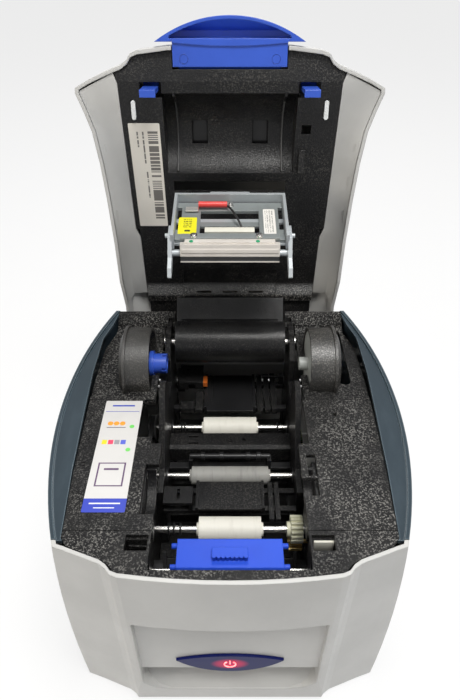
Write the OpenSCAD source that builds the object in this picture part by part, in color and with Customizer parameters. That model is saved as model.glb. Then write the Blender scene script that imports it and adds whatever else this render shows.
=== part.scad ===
// Desktop card printer, shown with its lid raised. Millimetres, +Z up, front towards -Y.
// The origin is on the table, under the middle of the printer.

/* [Casing] */
// Height of the lid's hinge axis above the table
hinge_h = 166; // [160:1:175]
// How far the hinge axis lies behind the origin
hinge_back = 69; // [66:1:76]
// Half the casing's greatest width
case_half = 115.6; // [114:0.2:118]
// Radius of the bulge of each side, seen from above
side_r = 283; // [270:1:300]
// Middle of that bulge, in front of the hinge axis
side_mid = 88; // [84:1:92]
// Distance from the hinge axis to the middle of the front face
front_reach = 210.5; // [209:0.5:213]
// Distance from the hinge axis to the back face
back_reach = 38; // [34:0.5:44]
// Half the width of the front panel's raised middle
brow_half = 63; // [61:0.5:65]
// Wall of the casing panels
wall = 2.5; // [2:0.1:3]
// Joint gap between neighbouring panels
seam = 0.4; // [0.3:0.05:0.6]
// Height of the rubber feet
foot_h = 2.5; // [2:0.1:4]
// Radius of the rubber feet
foot_r = 8; // [6:0.5:10]

/* [Deck] */
// Height of the front panel's rim above the hinge axis
rim_front = 5.5; // [5:0.1:5.8]
// Height of the side panels' rim at the back corner
rim_back = 16; // [15:0.2:17]
// Thickness of the deck mouldings
deck_t = 3; // [2.5:0.1:3.5]
// How far the deck lies below the rim
deck_drop = 1; // [0.8:0.1:1.5]
// Radius of the rounded back edge, about the hinge axis
roll_r = 26; // [25:0.2:26.2]
// Half the width of the open well
well_half = 44.6; // [44:0.1:45]

/* [Lid] */
// Angle through which the lid opens
lid_open = 98; // [90:0.5:100]
// Height of the closed lid's top above the hinge axis
lid_top = 64; // [60:0.5:68]
// Slope of the black liner, falling towards the front
liner_slope = 13; // [12:0.25:14]
// Half the width of the liner
liner_half = 73; // [70:0.5:74]
// How much narrower the liner is on each side of the print head
liner_step = 2.8; // [2:0.1:4]
// Wall of the lid shell
lid_wall = 2.4; // [2:0.1:3]
// Radius of the hinge barrel
barrel_r = 17; // [16:0.25:18]
// Half the length of the hinge barrel
barrel_half = 43; // [42:0.25:44]
// Radius of the hinge pins
pin_r = 3; // [2.5:0.1:3.5]
// Radius of the spool pocket in the lid
pocket_r = 30; // [29:0.25:31]

/* [Card transport] */
// Height of the feed roller axes below the hinge axis
feed_drop = 52.5; // [52:0.1:53]
// Distance of the rear feed roller in front of the hinge axis
rear_y = 45; // [44:0.5:46]
// Distance of the platen roller in front of the hinge axis
platen_y = 94.6; // [94:0.2:95.4]
// Distance of the front feed roller in front of the hinge axis
front_y = 138.8; // [138:0.2:139.6]
// Radius of the feed roller tyres
tyre_r = 8.4; // [8:0.1:8.8]
// Half the length of the feed roller tyres
tyre_half = 21; // [20:0.5:23]
// Radius of the platen roller
platen_r = 6.7; // [6.4:0.1:7]
// Half the length of the platen roller
platen_half = 28; // [27.5:0.5:29]
// Radius of the roller shafts
shaft_r = 2.5; // [2.2:0.1:2.8]
// Running clearance of shafts in their bushes
run = 0.05; // [0.02:0.01:0.08]
// Thickness of the side plates
plate_t = 4; // [3.5:0.1:4.5]
// Inner face of the side plates behind the platen
plate_in = 46.5; // [46.2:0.1:47]
// Inner face of the side plates in front of the platen
plate_out = 52.5; // [52.2:0.1:53]
// Module of the gear teeth
gear_m = 0.95; // [0.9:0.01:0.96]
// Teeth of the roller gears
gear_n = 18; // [18:1:18]
// Teeth of the motor pinions
pinion_n = 12; // [12:1:12]

/* [Spool drums] */
// Radius of the drums that carry the ribbon spool
drum_r = 27; // [26:0.25:28]
// Distance of the drums in front of the hinge axis
drum_y = 34; // [33:0.25:35]
// Height of the drums' centre above the hinge axis
drum_z = 6; // [5:0.25:7]
// Inner face of the drums
drum_in = 58; // [57.5:0.25:59]
// Width of the drums
drum_w = 19; // [17:0.5:20]
// Radius of the spool hubs
hub_r = 7.5; // [6.5:0.25:8.5]

/* [Print head] */
// Half the width of the head's carrier
head_half = 39; // [38:0.25:40]
// Tilt of the head's plate from upright, top towards the front
head_tilt = 16; // [15:0.25:17]
// Clearance between the closed head and the platen
head_gap = 0.5; // [0.4:0.05:0.8]

/* [Latch and buttons] */
// Half the width of the latch handle
handle_half = 46; // [44:0.5:48]
// How far the handle stands out in front of the lid
handle_reach = 13.3; // [12:0.1:15]
// Half the spacing of the latch hooks
hook_mid = 52; // [51.5:0.25:52.5]
// Half the width of the power button
button_half = 34.6; // [32:0.2:37]
// Half the width of the front recess
recess_half = 58; // [56:0.5:59]

/* [Hidden] */
$fn = 48;
deck_z = rim_front - deck_drop;
rear_floor = deck_z - 2;
well_front = front_reach - 9;
seam_back = 71.5;
seam_front = front_reach - 33;
table = -hinge_h;
feed_z = -feed_drop;
platen_z = feed_z + tyre_r - platen_r;
gear_r = gear_m * gear_n / 2;
pinion_r = gear_m * pinion_n / 2;
axle_drop = gear_r + pinion_r + 0.12;
bush_r = shaft_r + 2;
shell_gap = 0.35;
pan_wall = 2;
side_cut = front_reach - 26.5;
shelf_z = -roll_r - 6;
liner_front = front_reach - 19.5;
liner_z0 = 8.6;
recess_top = -46.5;
recess_low = -148;
button_z = -98;
mouth_back = -front_reach + 22;
card_mouth = 30;
inlet_z = -138;
inlet_half = 14;
card_z = feed_z + tyre_r - 1.6;
belt_x = plate_out + plate_t + 2;
belt_w = 3.2;
belt_gap = 0.3;
belt_t = 1.2;
flange = 2;
edge_gap = 0.35;
cheek_t = 1.6;
latch_y = 17 - front_reach;
latch_z = 16;
rod_low = -31.2;
head_y = -97;
head_z = platen_z + platen_r + head_gap;
pivot_y = -112;
pivot_z = head_z + 61;

// ---- Shared helpers ----

// Places its children in the frame of the lid's hinge axis
module at_hinge() translate([0, hinge_back, hinge_h]) children();

// The same frame, turned with the raised lid
module on_lid() at_hinge() rotate([-lid_open, 0, 0]) children();

// Extrudes a side-view outline of (y, z) points along X from x0
module slab(x0, t) translate([x0, 0, 0]) rotate([90, 0, 90]) linear_extrude(t) children();

// Extrudes a front-view outline of (x, z) points along Y from y0 towards the back
module curtain(y0, t) translate([0, y0 + t, 0]) rotate([90, 0, 0]) linear_extrude(t) children();

// Extrudes a plan outline of (x, y) points upwards from z0
module rise(z0, t) translate([0, 0, z0]) linear_extrude(t) children();

// A cylinder along X
module rod(r, x0, len, y, z) translate([x0, y, z]) rotate([0, 90, 0]) cylinder(r = r, h = len);

// A box given by its two corners
module block(a, b) translate(a) cube(b - a);

// Its children, and the same mirrored to the other side
module both() {
    children();
    mirror([1, 0, 0]) children();
}

// Points along an arc about c, from angle a0 to a1
function arc(c, r, a0, a1, n) =
    [for (i = [0:n]) c + r * [cos(a0 + (a1 - a0) * i / n), sin(a0 + (a1 - a0) * i / n)]];

// A list of points taken backwards and mirrored about x = 0
function mirrored(p) = [for (i = [len(p) - 1:-1:0]) [-p[i][0], p[i][1]]];

// Height of the side panels' rim at y
function rim_z(y) = rim_front + (rim_back - rim_front) * max(0, y + side_cut) / (side_cut + 20);

// Half the casing's width just under the rim at y
function bulge_x(y) = case_half - side_r + sqrt(side_r * side_r - (y + side_mid) * (y + side_mid));

// Height of the liner's underside, closed, at y
function liner_z(y) = liner_z0 + (y + 184) * tan(liner_slope);

// ---- Casing ----

// The front outline in plan: a convex middle that steps back to the two cheeks
function front_line(d) = concat(
    [for (i = [0:4]) let (x = i * brow_half * 0.238) [x, -front_reach + x * x / 880 + d]],
    [[brow_half + 1, -front_reach + 5.7 + d], [brow_half + 4, -front_reach + 9.3 + d],
     [brow_half + 8, -front_reach + 12.1 + d], [brow_half + 17, -front_reach + 15.5 + d],
     [brow_half + 29, -front_reach + 20.1 + d], [case_half + 8, -front_reach + 31 + d]]);

// One bulged side: a band turned about a far centre, fullest at half height
module side_bulge(inset) {
    levels = [for (i = [0:9]) table - 6 + (hinge_h + 34) * i / 9];
    translate([case_half - side_r, -side_mid, rim_front]) rotate([-6, 0, 0])
        translate([0, 0, -rim_front])
            rotate_extrude($fn = 120)
                polygon(concat([[40, levels[0]]],
                    [for (z = levels) [side_r - inset + 3 - 3 * pow((z + 78) / 84, 2), z]],
                    [[40, levels[9]]]));
}

// The casing's side view: rim line, back roll, shelf and back face
module case_side(inset, low, high) {
    slab(-case_half - 10, 2 * case_half + 20)
        polygon(concat(
            [[-front_reach + 7 + inset, low], [-front_reach + 2 + inset, table + 60],
             [-front_reach + inset, -60], [-front_reach + inset, rim_front + high],
             [-side_cut, rim_front + high]],
            [[20.5 - inset * 0.6, rim_back - inset * 0.4 + high]],
            arc([0, 0], roll_r - inset, 36, -58, 12),
            [[roll_r * 0.53 - inset, shelf_z - inset], [back_reach - 3 - inset, shelf_z - inset],
             [back_reach - inset, shelf_z - 3 - inset], [back_reach - inset, low]]));
}

// The casing's outer form, drawn in by inset, from low up to the rim plus high
module case_form(inset, low, high) {
    intersection() {
        side_bulge(inset);
        mirror([1, 0, 0]) side_bulge(inset);
        rise(table - 5, hinge_h + 40)
            polygon(concat(front_line(inset), [[case_half + 8, 60], [-case_half - 8, 60]],
                mirrored(front_line(inset))));
        case_side(inset, low, high);
    }
}

// The hollow casing, open at the top and bottom
module case_shell() {
    difference() {
        case_form(0, table + foot_h, 0);
        case_form(wall, table - 3, 8);
    }
}

// The front panel's recess: an upright face and, below the button, a scoop for the cards
module recess_cut(grow) {
    half = recess_half + grow;
    face = -front_reach + 7 + grow;
    intersection() {
        slab(-half, 2 * half)
            polygon([[-front_reach - 8, recess_top + grow], [face + 1.5, recess_top + grow],
                [face, button_z + 2], [face, button_z - 14], [mouth_back + grow, button_z - 16 + grow],
                [mouth_back + grow, button_z - 22 - grow], [face - 1, recess_low + 6 - grow],
                [-front_reach - 8, recess_low - grow]]);
        curtain(-front_reach - 10, 40)
            polygon(concat([[-half, recess_top + grow], [half, recess_top + grow],
                [half, recess_low + 19], [half - 4, recess_low + 13 - grow]],
                [for (i = [-4:4]) let (x = -i * (half - 6) / 4.2)
                    [x, recess_low - grow + 12 * pow(x / half, 2)]],
                [[-half + 4, recess_low + 13 - grow], [-half, recess_low + 19]]));
    }
}

// The button's lens, between a shallow upper and a deep lower arc, grown by a gap
module button_lens(y0, t, grow) {
    up = 6;
    down = 16;
    r_up = (button_half * button_half + up * up) / (2 * up);
    r_down = (button_half * button_half + down * down) / (2 * down);
    intersection() {
        translate([0, y0 + t, button_z + up - r_up]) rotate([90, 0, 0])
            cylinder(r = r_up + grow, h = t, $fn = 160);
        translate([0, y0 + t, button_z - down + r_down]) rotate([90, 0, 0])
            cylinder(r = r_down + grow, h = t, $fn = 160);
    }
}

module front_panel() color("whitesmoke") at_hinge() {
    difference() {
        union() {
            intersection() {
                case_shell();
                block([-130, -front_reach - 5, table], [130, -side_cut, 30]);
            }
            // The recess's own walls
            intersection() {
                recess_cut(wall);
                case_form(wall * 0.5, table + foot_h, 0);
            }
        }
        recess_cut(0);
        button_lens(-front_reach - 5, 30, shell_gap);
        // Card mouth in the back of the scoop
        block([-card_mouth, mouth_back - 1, button_z - 21.4], [card_mouth, mouth_back + 9, button_z - 17]);
    }
}

module side_panel() {
    intersection() {
        union() {
            difference() {
                case_form(0, table + foot_h, 0);
                side_bulge(wall);
            }
            // Ledge that carries the deck's edge
            intersection() {
                case_form(wall / 2, table + foot_h, 0);
                slab(case_half - 55.6, 70)
                    polygon([[-side_cut, rim_front - 4], [-side_cut, rim_front - 1.6],
                        [20, rim_back - 1.6], [20, rim_back - 4]]);
                difference() {
                    block([case_half - 55.6, -side_cut, -20], [case_half + 15, 20, 30]);
                    deck_plan(seam, -30, 60);
                }
            }
        }
        block([case_half - 55.6, -side_cut + seam, table], [case_half + 15, 40, 40]);
        slab(case_half - 55.6, 70)
            polygon([[-side_cut, table], [12, table], [12, shelf_z + seam], [40, shelf_z + seam], [40, 40],
                [-side_cut, 40]]);
    }
}

module right_side_panel() color([0.2, 0.27, 0.34, 0.85]) at_hinge() side_panel();

module left_side_panel() color([0.2, 0.27, 0.34, 0.85]) at_hinge() mirror([1, 0, 0]) side_panel();

// Back wall with vents and the power inlet's opening
module rear_panel() color("whitesmoke") at_hinge() {
    difference() {
        intersection() {
            case_shell();
            union() {
                block([-130, back_reach - 12, table], [130, back_reach + 2, shelf_z]);
                block([-130, 12 + seam, table], [130, back_reach, shelf_z]);
            }
        }
        block([-inlet_half - 0.5, back_reach - 8, inlet_z - 10.5],
            [inlet_half + 0.5, back_reach + 2, inlet_z + 10.5]);
        block([28, back_reach - 8, inlet_z - 6.5], [40.5, back_reach + 2, inlet_z + 5.5]);
        for (i = [0:8])
            block([-70 + i * 17.5 - 5, back_reach - 8, -76], [-70 + i * 17.5 + 5, back_reach + 2, -73]);
        for (i = [0:8])
            block([-70 + i * 17.5 - 5, back_reach - 8, -84], [-70 + i * 17.5 + 5, back_reach + 2, -81]);
    }
}

// Bottom tray with a low wall that the panels close over
module base_pan() color("whitesmoke") at_hinge() {
    difference() {
        intersection() {
            case_form(wall + shell_gap, table + foot_h, 0);
            block([-140, -230, table + foot_h], [140, 60, table + 20]);
        }
        intersection() {
            case_form(wall + shell_gap + pan_wall, table + 3, 0);
            block([-140, -230, table + foot_h + pan_wall + 0.5], [140, 60, table + 30]);
        }
        block([-recess_half - wall - 0.5, -230, table + foot_h + 8],
            [recess_half + wall + 0.5, -side_cut - 1, table + 30]);
        block([-20, back_reach - 14, inlet_z - 11], [45, 60, table + 30]);
        // Cooling slots in the floor
        for (i = [-3:3])
            block([i * 16 - 5, -60, table], [i * 16 + 5, -30, table + 8]);
    }
    // Posts that carry the side plates
    both() for (y = [-178, -100, -10])
        block([plate_in, y - 5, table + foot_h + pan_wall], [plate_out + plate_t, y + 5, -118 - seam]);
}

module rubber_feet() color([0.1, 0.1, 0.1]) at_hinge() {
    both() for (y = [-165, 5])
        translate([case_half - 33.6, y, table]) {
            cylinder(r1 = foot_r - 0.6, r2 = foot_r, h = 0.6);
            translate([0, 0, 0.6]) cylinder(r = foot_r, h = foot_h - 0.6);
        }
}

// ---- Deck ----

// Plan of the deck, grown by a joint gap
module deck_plan(grow, z0, t) {
    half = [[0, -front_reach + wall + shell_gap], [22, -front_reach + wall + 0.9],
        [44, -front_reach + wall + 2.6], [brow_half - 1, -front_reach + wall + 5],
        [brow_half + 3, -front_reach + wall + 9.8], [brow_half + 8, -front_reach + wall + 12.9],
        [brow_half + 17, -front_reach + wall + 16.2], [brow_half + 28, -front_reach + wall + 21],
        [bulge_x(-side_cut + 2) - 5.0 + grow, -side_cut + 2], [bulge_x(-134) - 14.5 + grow, -134],
        [bulge_x(-85) - 16.8 + grow, -85], [bulge_x(-50) - 13.5 + grow, -50],
        [bulge_x(-12) - 7.2 + grow, -12], [bulge_x(6) - 7.0 + grow, 6],
        [bulge_x(30) - 1.8 + grow, 30]];
    rise(z0, t) polygon(concat(half, mirrored(half)));
}

// The well in the deck, narrower in front
module well_cut() {
    block([-well_half, -well_front, -40], [well_half, -112, 40]);
    block([-51.5, -112.5, -40], [51.5, 40, 40]);
}

module deck_plate(y0, y1) {
    intersection() {
        deck_plan(0, -40, 80);
        block([-120, y0, deck_z - deck_t], [120, y1, deck_z]);
    }
}

module front_deck() color([0.12, 0.12, 0.13]) at_hinge() {
    difference() {
        union() {
            deck_plate(-front_reach, -seam_front);
            // Turned-down front edge of the well
            block([-well_half, -well_front - 2, deck_z - 26], [well_half, -well_front, deck_z]);
        }
        well_cut();
        both() block([45.8, -190, -20], [58.6, -180.2, 20]);
    }
    hook_pockets();
}

// Pockets under the two windows, with a catch ledge that the latch hooks reach under
module hook_pockets() {
    low = deck_z - 21;
    both() {
        block([45, -193.5, low], [60.9, -180, low + 2.5]);
        block([59.4, -193.5, low], [60.9, -180, deck_z - deck_t + 0.1]);
        block([45, -193.5, low], [46.5, -180, deck_z - deck_t + 0.1]);
        block([45, -193.5, low], [60.9, -192, deck_z - deck_t + 0.1]);
        block([45, -181.5, low], [60.9, -180, deck_z - deck_t + 0.1]);
        block([47.5, -182.6, deck_z - 10.5], [57.5, -181.4, deck_z - 8]);
    }
}

module left_deck() color([0.12, 0.12, 0.13]) at_hinge() {
    difference() {
        union() {
            intersection() {
                deck_plate(-seam_front + seam, -seam_back - seam);
                block([-120, -300, -40], [-40, 100, 40]);
            }
            // Downward lip along the well
            block([-well_half - 1.5, -seam_front + 2, deck_z - 14], [-well_half, -168, deck_z]);
        }
        well_cut();
        // Spool pocket and the opening beside the fin
        block([-53, -166.6, -40], [-40, -129.8, 40]);
        slab(-62, 22) polygon([[-106.7, -30], [-106.7, 30], [-60, 30], [-60, -30]]);
        for (p = [[-94.2, -86], [-93.4, -107.3], [-92.6, -129.6]])
            translate([p[0], p[1], deck_z - 0.8]) cylinder(r = 1.6, h = 4);
    }
    // Snap studs
    for (p = [[-94.2, -86], [-93.4, -107.3], [-92.6, -129.6]])
        translate([p[0], p[1], deck_z - 0.81]) cylinder(r = 1.1, h = 0.8);
}

module right_deck() color([0.12, 0.12, 0.13]) at_hinge() {
    difference() {
        union() {
            intersection() {
                deck_plate(-seam_front + seam, -seam_back - seam);
                block([40, -300, -40], [120, 100, 40]);
            }
            block([well_half, -seam_front + 2, deck_z - 14], [well_half + 1.5, -156, deck_z]);
        }
        well_cut();
        block([48.6, -138.9, -40], [54.4, -121.8, 40]);
        block([40, -153.5, -40], [54, -140.4, 40]);
        translate([72, -86, -40]) cylinder(r = 1.6, h = 80);
        for (p = [[94.2, -86], [93.4, -107.3], [92.6, -129.6]])
            translate([p[0], p[1], deck_z - 0.8]) cylinder(r = 1.6, h = 4);
    }
    for (p = [[94.2, -86], [93.4, -107.3], [92.6, -129.6]])
        translate([p[0], p[1], deck_z - 0.81]) cylinder(r = 1.1, h = 0.8);
}

// The back of the deck: a floor, the wall that rises behind it and the rounded back edge
module rear_deck() color([0.12, 0.12, 0.13]) at_hinge() {
    skin = roll_r - shell_gap - 0.1;
    difference() {
        intersection() {
            deck_plan(0, -60, 100);
            side_bulge(wall + shell_gap);
            mirror([1, 0, 0]) side_bulge(wall + shell_gap);
            slab(-100, 200)
                polygon(concat(
                    [[-seam_back, rear_floor - deck_t], [-seam_back, deck_z], [-seam_back + 3, deck_z],
                     [-seam_back + 5, rear_floor]],
                    arc([7, rear_floor + 6], 6, -90, -10, 5),
                    [[17.8, rim_back - 1.4]],
                    arc([0, 0], skin, 37, -56, 12),
                    arc([0, 0], skin - deck_t, -56, -14, 5),
                    [[15, rear_floor - deck_t]]));
        }
        block([-well_half, -50, -60], [well_half, 12, 60]);
        block([-well_half, 11, -14], [well_half, 60, 60]);
        block([-53, -80, -60], [53, 13.4, 60]);
        // Openings for the two drums and their hubs
        both() {
            rod(hub_r + 2 + edge_gap, 50, 10, -drum_y, drum_z);
            rod(drum_r + edge_gap, drum_in - edge_gap, drum_w + edge_gap, -drum_y, drum_z);
            rod(drum_r + 1.6 + edge_gap, drum_in + drum_w - 2 - edge_gap, 2 + 2 * edge_gap, -drum_y, drum_z);
        }
        // Slots in the floor and the back wall
        hull_slot(84.8, -54, 11, 8.6);
        both() block([45, 10, -4], [50, 30, 12]);
    }
}

// A long round-ended slot along Y through the rear floor
module hull_slot(x, y0, y1, w) {
    block([x - w / 2, y0 + w / 2, -20], [x + w / 2, y1 - w / 2, 20]);
    for (y = [y0 + w / 2, y1 - w / 2]) translate([x, y, -20]) cylinder(r = w / 2, h = 40);
}

// ---- Spool drums and hubs ----

// An open-ended drum with a flange and a spoked web on its outer side
module drum() {
    difference() {
        union() {
            rod(drum_r, drum_in, drum_w, -drum_y, drum_z);
            rod(drum_r + 1.6, drum_in + drum_w - 2, 2, -drum_y, drum_z);
            intersection() {
                translate([drum_in + drum_w, -drum_y, drum_z]) rotate([0, 90, 0])
                    cylinder(r1 = drum_r - 1, r2 = drum_r - 5, h = 3);
                block([0, -80, rear_floor + 0.3], [120, 20, 60]);
            }
        }
        rod(drum_r - 2.2, drum_in - 1, drum_w - 1.5, -drum_y, drum_z);
        rod(3.1, drum_in, 40, -drum_y, drum_z);
    }
}

module right_drum() color([0.14, 0.14, 0.15]) at_hinge() drum();

module left_drum() color([0.14, 0.14, 0.15]) at_hinge() mirror([1, 0, 0]) drum();

// Blue dog hub that turns the ribbon spool, on a stub axle through its drum
module left_spool_hub() color("royalblue") at_hinge() {
    difference() {
        union() {
            rod(hub_r, -drum_in + 1, 9.5, -drum_y, drum_z);
            rod(hub_r + 2, -drum_in - 2, 3, -drum_y, drum_z);
            rod(3.05, -drum_in - drum_w - 3, drum_w + 7, -drum_y, drum_z);
        }
        for (a = [0:90:270])
            translate([0, -drum_y, drum_z]) rotate([a, 0, 0])
                block([-drum_in + 7, -1.2, hub_r - 2], [-drum_in + 11, 1.2, hub_r + 1]);
        rod(4, -drum_in + 6, 6, -drum_y, drum_z);
    }
}

// White friction disc that brakes the other end of the spool
module right_spool_disc() color("ivory") at_hinge() {
    rod(drum_r - 2.8, drum_in + 0.6, 2.2, -drum_y, drum_z);
    difference() {
        rod(5, drum_in - 6, 7, -drum_y, drum_z);
        rod(2.5, drum_in - 7, 4, -drum_y, drum_z);
    }
    rod(3.05, drum_in + 2, drum_w + 1, -drum_y, drum_z);
}

// ---- Chassis ----

// Side plate: a high rear part, a jog, and a lower and wider front part
module side_plate() {
    difference() {
        union() {
            slab(plate_in, plate_t)
                polygon([[11.6, -118], [11.6, -30], [13, -8], [11, 12], [-12, 12], [-22, -2], [-24, -22], [-44, -22], [-50, 3],
                    [-58, 9], [-66, 8], [-100, -37], [-118, -40], [-118, -118]]);
            rod(13, plate_in, plate_t, 0, 0);
            slab(plate_out, plate_t)
                polygon([[-114, -118], [-114, -40], [-120, -8], [-124, -0.5], [-177.5, -0.5], [-177.5, -17.2],
                    [-199, -17.2], [-199, -110.5], [-185.3, -110.5], [-185.3, -118]]);
            block([plate_in, -118, -118], [plate_out + plate_t, -114, -40]);
        }
        rod(pin_r + 0.02, plate_in - 1, plate_t + 2, 0, 0);
        for (a = [[rear_y, feed_z], [platen_y, platen_z]])
            rod(bush_r + 0.02, plate_in - 1, plate_t + 2, -a[0], a[1]);
        rod(bush_r + 0.02, plate_out - 1, plate_t + 2, -front_y, feed_z);
        // Lightening windows
        block([plate_in - 1, -30, -105], [plate_in + plate_t + 1, 0, -72]);
        block([plate_out - 1, -190, -105], [plate_out + plate_t + 1, -160, -84]);
    }
}

module right_side_plate() color([0.13, 0.13, 0.14]) at_hinge() {
    difference() {
        side_plate();
        // Opening for the feed motor's pinion, and its four screws
        rod(11, plate_out - 1, plate_t + 2, -front_y, feed_z - axle_drop);
        for (y = [-15.5, 15.5], z = [-15.5, 15.5])
            rod(1.7, plate_out - 1, plate_t + 2, -front_y + y, feed_z - axle_drop + z);
    }
}

module left_side_plate() color([0.13, 0.13, 0.14]) at_hinge() mirror([1, 0, 0]) side_plate();

// Floor under the card path, joined to the two side plates
module chassis_floor() color([0.12, 0.12, 0.13]) at_hinge() {
    difference() {
        union() {
            block([-plate_out + 0.3, -168, -104], [plate_out - 0.3, -118.5, -101]);
            block([-plate_in + 0.3, -118.5, -104], [plate_in - 0.3, 11, -101]);
            // Ribs across the floor
            for (y = [-136, -100, -70, -24])
                block([-plate_in + 0.3, y, -101], [plate_in - 0.3, y + 2, -92]);
        }
        for (x = [-24, 0, 24]) block([x - 6, -160, -110], [x + 6, -140, -90]);
    }
}

// Half-round cradles where the front spool's ends drop in
module spool_cradles() color([0.14, 0.14, 0.15]) at_hinge() {
    both() difference() {
        rod(19, well_half + 1.9, 5.7, -148.2, deck_z);
        rod(17, well_half - 1, 10, -148.2, deck_z);
        block([40, -200, deck_z - deck_t - 0.3], [60, -100, 40]);
    }
}

// Steel pins that the lid's barrel turns on
module hinge_pins() color("silver") at_hinge() {
    both() {
        rod(pin_r, barrel_half - 9, plate_in + plate_t + 1 - barrel_half + 9, 0, 0);
        rod(pin_r + 1.8, plate_in + plate_t + 0.3, 1.7, 0, 0);
    }
}

// Bushes that hold the three shafts in the side plates
module roller_bushes() color([0.07, 0.07, 0.08]) at_hinge() {
    both() {
        for (a = [[plate_in, rear_y, feed_z], [plate_in, platen_y, platen_z], [plate_out, front_y, feed_z]])
            difference() {
                union() {
                    rod(bush_r, a[0], plate_t, -a[1], a[2]);
                    rod(bush_r + 1.4, a[0] - 1.2, 1.2, -a[1], a[2]);
                }
                rod(shaft_r + run, a[0] - 2, plate_t + 4, -a[1], a[2]);
            }
    }
}

// ---- Card path ----

// Smooth floor that the card slides over behind the rear roller
module card_floor() color([0.1, 0.1, 0.1]) at_hinge() {
    difference() {
        block([-19, -33, card_z - 2], [19, 10, card_z]);
        block([-15, -25, card_z - 0.6], [-13.5, 10, card_z + 1]);
    }
    both() block([19.01, -30, card_z - 6], [21, 10, card_z + 1.5]);
    for (y = [-28, 0]) block([-plate_in + 0.3, y, card_z - 6], [plate_in - 0.3, y + 4, card_z - 2.01]);
}

// Card guide rails on both sides of the floor
module guide_rails() color([0.2, 0.19, 0.18]) at_hinge() {
    for (x = [22.5, 28.5, 34]) block([x, -34, card_z - 1.9], [x + 4.2, 9, card_z + 1.4 + (x - 22) / 6]);
    block([-28, -34, card_z - 1.9], [-22.5, -12, card_z + 2.2]);
    block([-40, -34, card_z - 1.9], [-29, -26, card_z + 4]);
    rod(1.2, 27, 16, 8.5 - 6, card_z + 6);
    block([41.5, 0.5, card_z - 1.9], [45.5, 4.5, card_z + 8]);
}

// Block over the card's edge that holds the card sensor
module sensor_block() color([0.12, 0.12, 0.13]) at_hinge() {
    difference() {
        union() {
            block([-42, -11.5, card_z + 4], [-22.5, 10, card_z + 12]);
            block([-44, -8, card_z - 1.9], [-38, 6, card_z + 12]);
        }
        translate([-36, 3, card_z]) cylinder(r = 1.2, h = 20);
        block([-35, -12, card_z + 3], [-29, -8, card_z + 9]);
    }
}

// Orange reflective sensor at the card's edge
module card_sensor() color("orangered") at_hinge() {
    block([-22.4, -9.5, card_z + 5], [-19, -1, card_z + 9.5]);
}

// Moulded bar between the rear roller and the platen
module sensor_bar() color([0.14, 0.14, 0.15]) at_hinge() {
    difference() {
        slab(-plate_in + 0.3, 2 * plate_in - 0.6)
            polygon([[-72.5, card_z - 14], [-72.5, card_z - 1.5], [-70, card_z + 0.6], [-58, card_z + 0.6],
                [-56.5, card_z - 1], [-56.5, card_z - 14]]);
        translate([10.5, -65, card_z - 2]) cylinder(r = 1.7, h = 10);
        for (y = [-61.5, -68]) block([-32, y - 0.8, card_z - 2], [-24.5, y + 0.8, card_z + 4]);
        translate([0, -65, card_z - 0.4]) cylinder(r = 2, h = 10);
        block([-40, -71, card_z - 15], [40, -58, card_z - 3]);
    }
    translate([0, -65, card_z - 0.41]) cylinder(r = 1.5, h = 1.2);
}

// Dark pinch rod with two sprung collars, just behind the platen
module pinch_rod() color([0.16, 0.16, 0.17]) at_hinge() {
    rod(2, -30, 60, -79.2, card_z - 1.4);
    for (x = [-22, -8, 12, 20]) rod(3, x, 3, -79.2, card_z - 1.4);
    for (x = [-31, 28]) block([x, -82, card_z - 12], [x + 3, -76.4, card_z - 3]);
    block([-plate_in + 0.3, -82, card_z - 14.6], [plate_in - 0.3, -76.4, card_z - 11.9]);
}

// Tray between the platen and the front roller
module centre_tray() color([0.12, 0.12, 0.13]) at_hinge() {
    block([-22, -127, card_z - 3], [22, -103.5, card_z - 0.8]);
    both() block([22.01, -127, card_z - 5], [24, -103.5, card_z + 0.5]);
    for (x = [27, 31.5]) block([x, -134, card_z - 5], [x + 3.2, -103, card_z - 2]);
    for (y = [-125, -110]) block([-plate_in + 0.3, y, card_z - 8], [plate_in - 0.3, y + 4, card_z - 5.01]);
    tray_bracket();
}

// Bracket beside the tray, with a notch
module tray_bracket() {
    difference() {
        union() {
            block([-46.2, -125, card_z + 1], [-26, -111, card_z + 3.5]);
            block([-46.2, -114, card_z - 4.9], [-42, -111, card_z + 1]);
            block([-28.5, -125, card_z - 4.9], [-26, -111, card_z + 1]);
        }
        block([-37, -121, card_z], [-35, -113, card_z + 6]);
    }
}

// Chute that lets the card out through the front panel
module exit_chute() color([0.16, 0.16, 0.17]) at_hinge() {
    low = mouth_back + wall + seam;
    slab(-43, 86) polygon([[-150, -73], [-150, -70], [low, button_z - 21.4], [low, button_z - 24.4]]);
    both() slab(43, 2) polygon([[-150, -73], [-150, -62], [low, button_z - 11], [low, button_z - 24.4]]);
    both() block([44.9, -156, -77], [plate_out - 0.3, -150.1, -72]);
}

// Two wires across the well that the cleaning cartridge rests on
module cross_rods() color("silver") at_hinge() {
    for (y = [-197.5, -181.2])
        rod(0.9, -plate_out + 0.3, 2 * plate_out - 0.6, y, rod_low + (y > -190 ? 0.3 : 0));
}

// ---- Rollers ----

// A plain steel shaft along X, reaching reach_l to the left and reach_r to the right
module shaft(y, z, reach_l, reach_r) {
    rod(shaft_r, -reach_l, reach_l + reach_r, -y, z);
}

// The tyre or sleeve bonded to its shaft
module tyre(y, z, r, half) {
    difference() {
        union() {
            rod(r, -half, 2 * half, -y, z);
            rod(shaft_r + 2, -half - 1.5, 2 * half + 3, -y, z);
        }
        rod(shaft_r + 0.01, -half - 3, 2 * half + 6, -y, z);
    }
}

module rear_shaft() color("silver") at_hinge() shaft(rear_y, feed_z, belt_x + 7, plate_in + plate_t + 2);

module rear_tyre() color("ivory") at_hinge() tyre(rear_y, feed_z, tyre_r, tyre_half);

module platen_shaft() color("silver") at_hinge() {
    shaft(platen_y, platen_z, belt_x + 7, plate_in + plate_t + 2);
}

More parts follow.
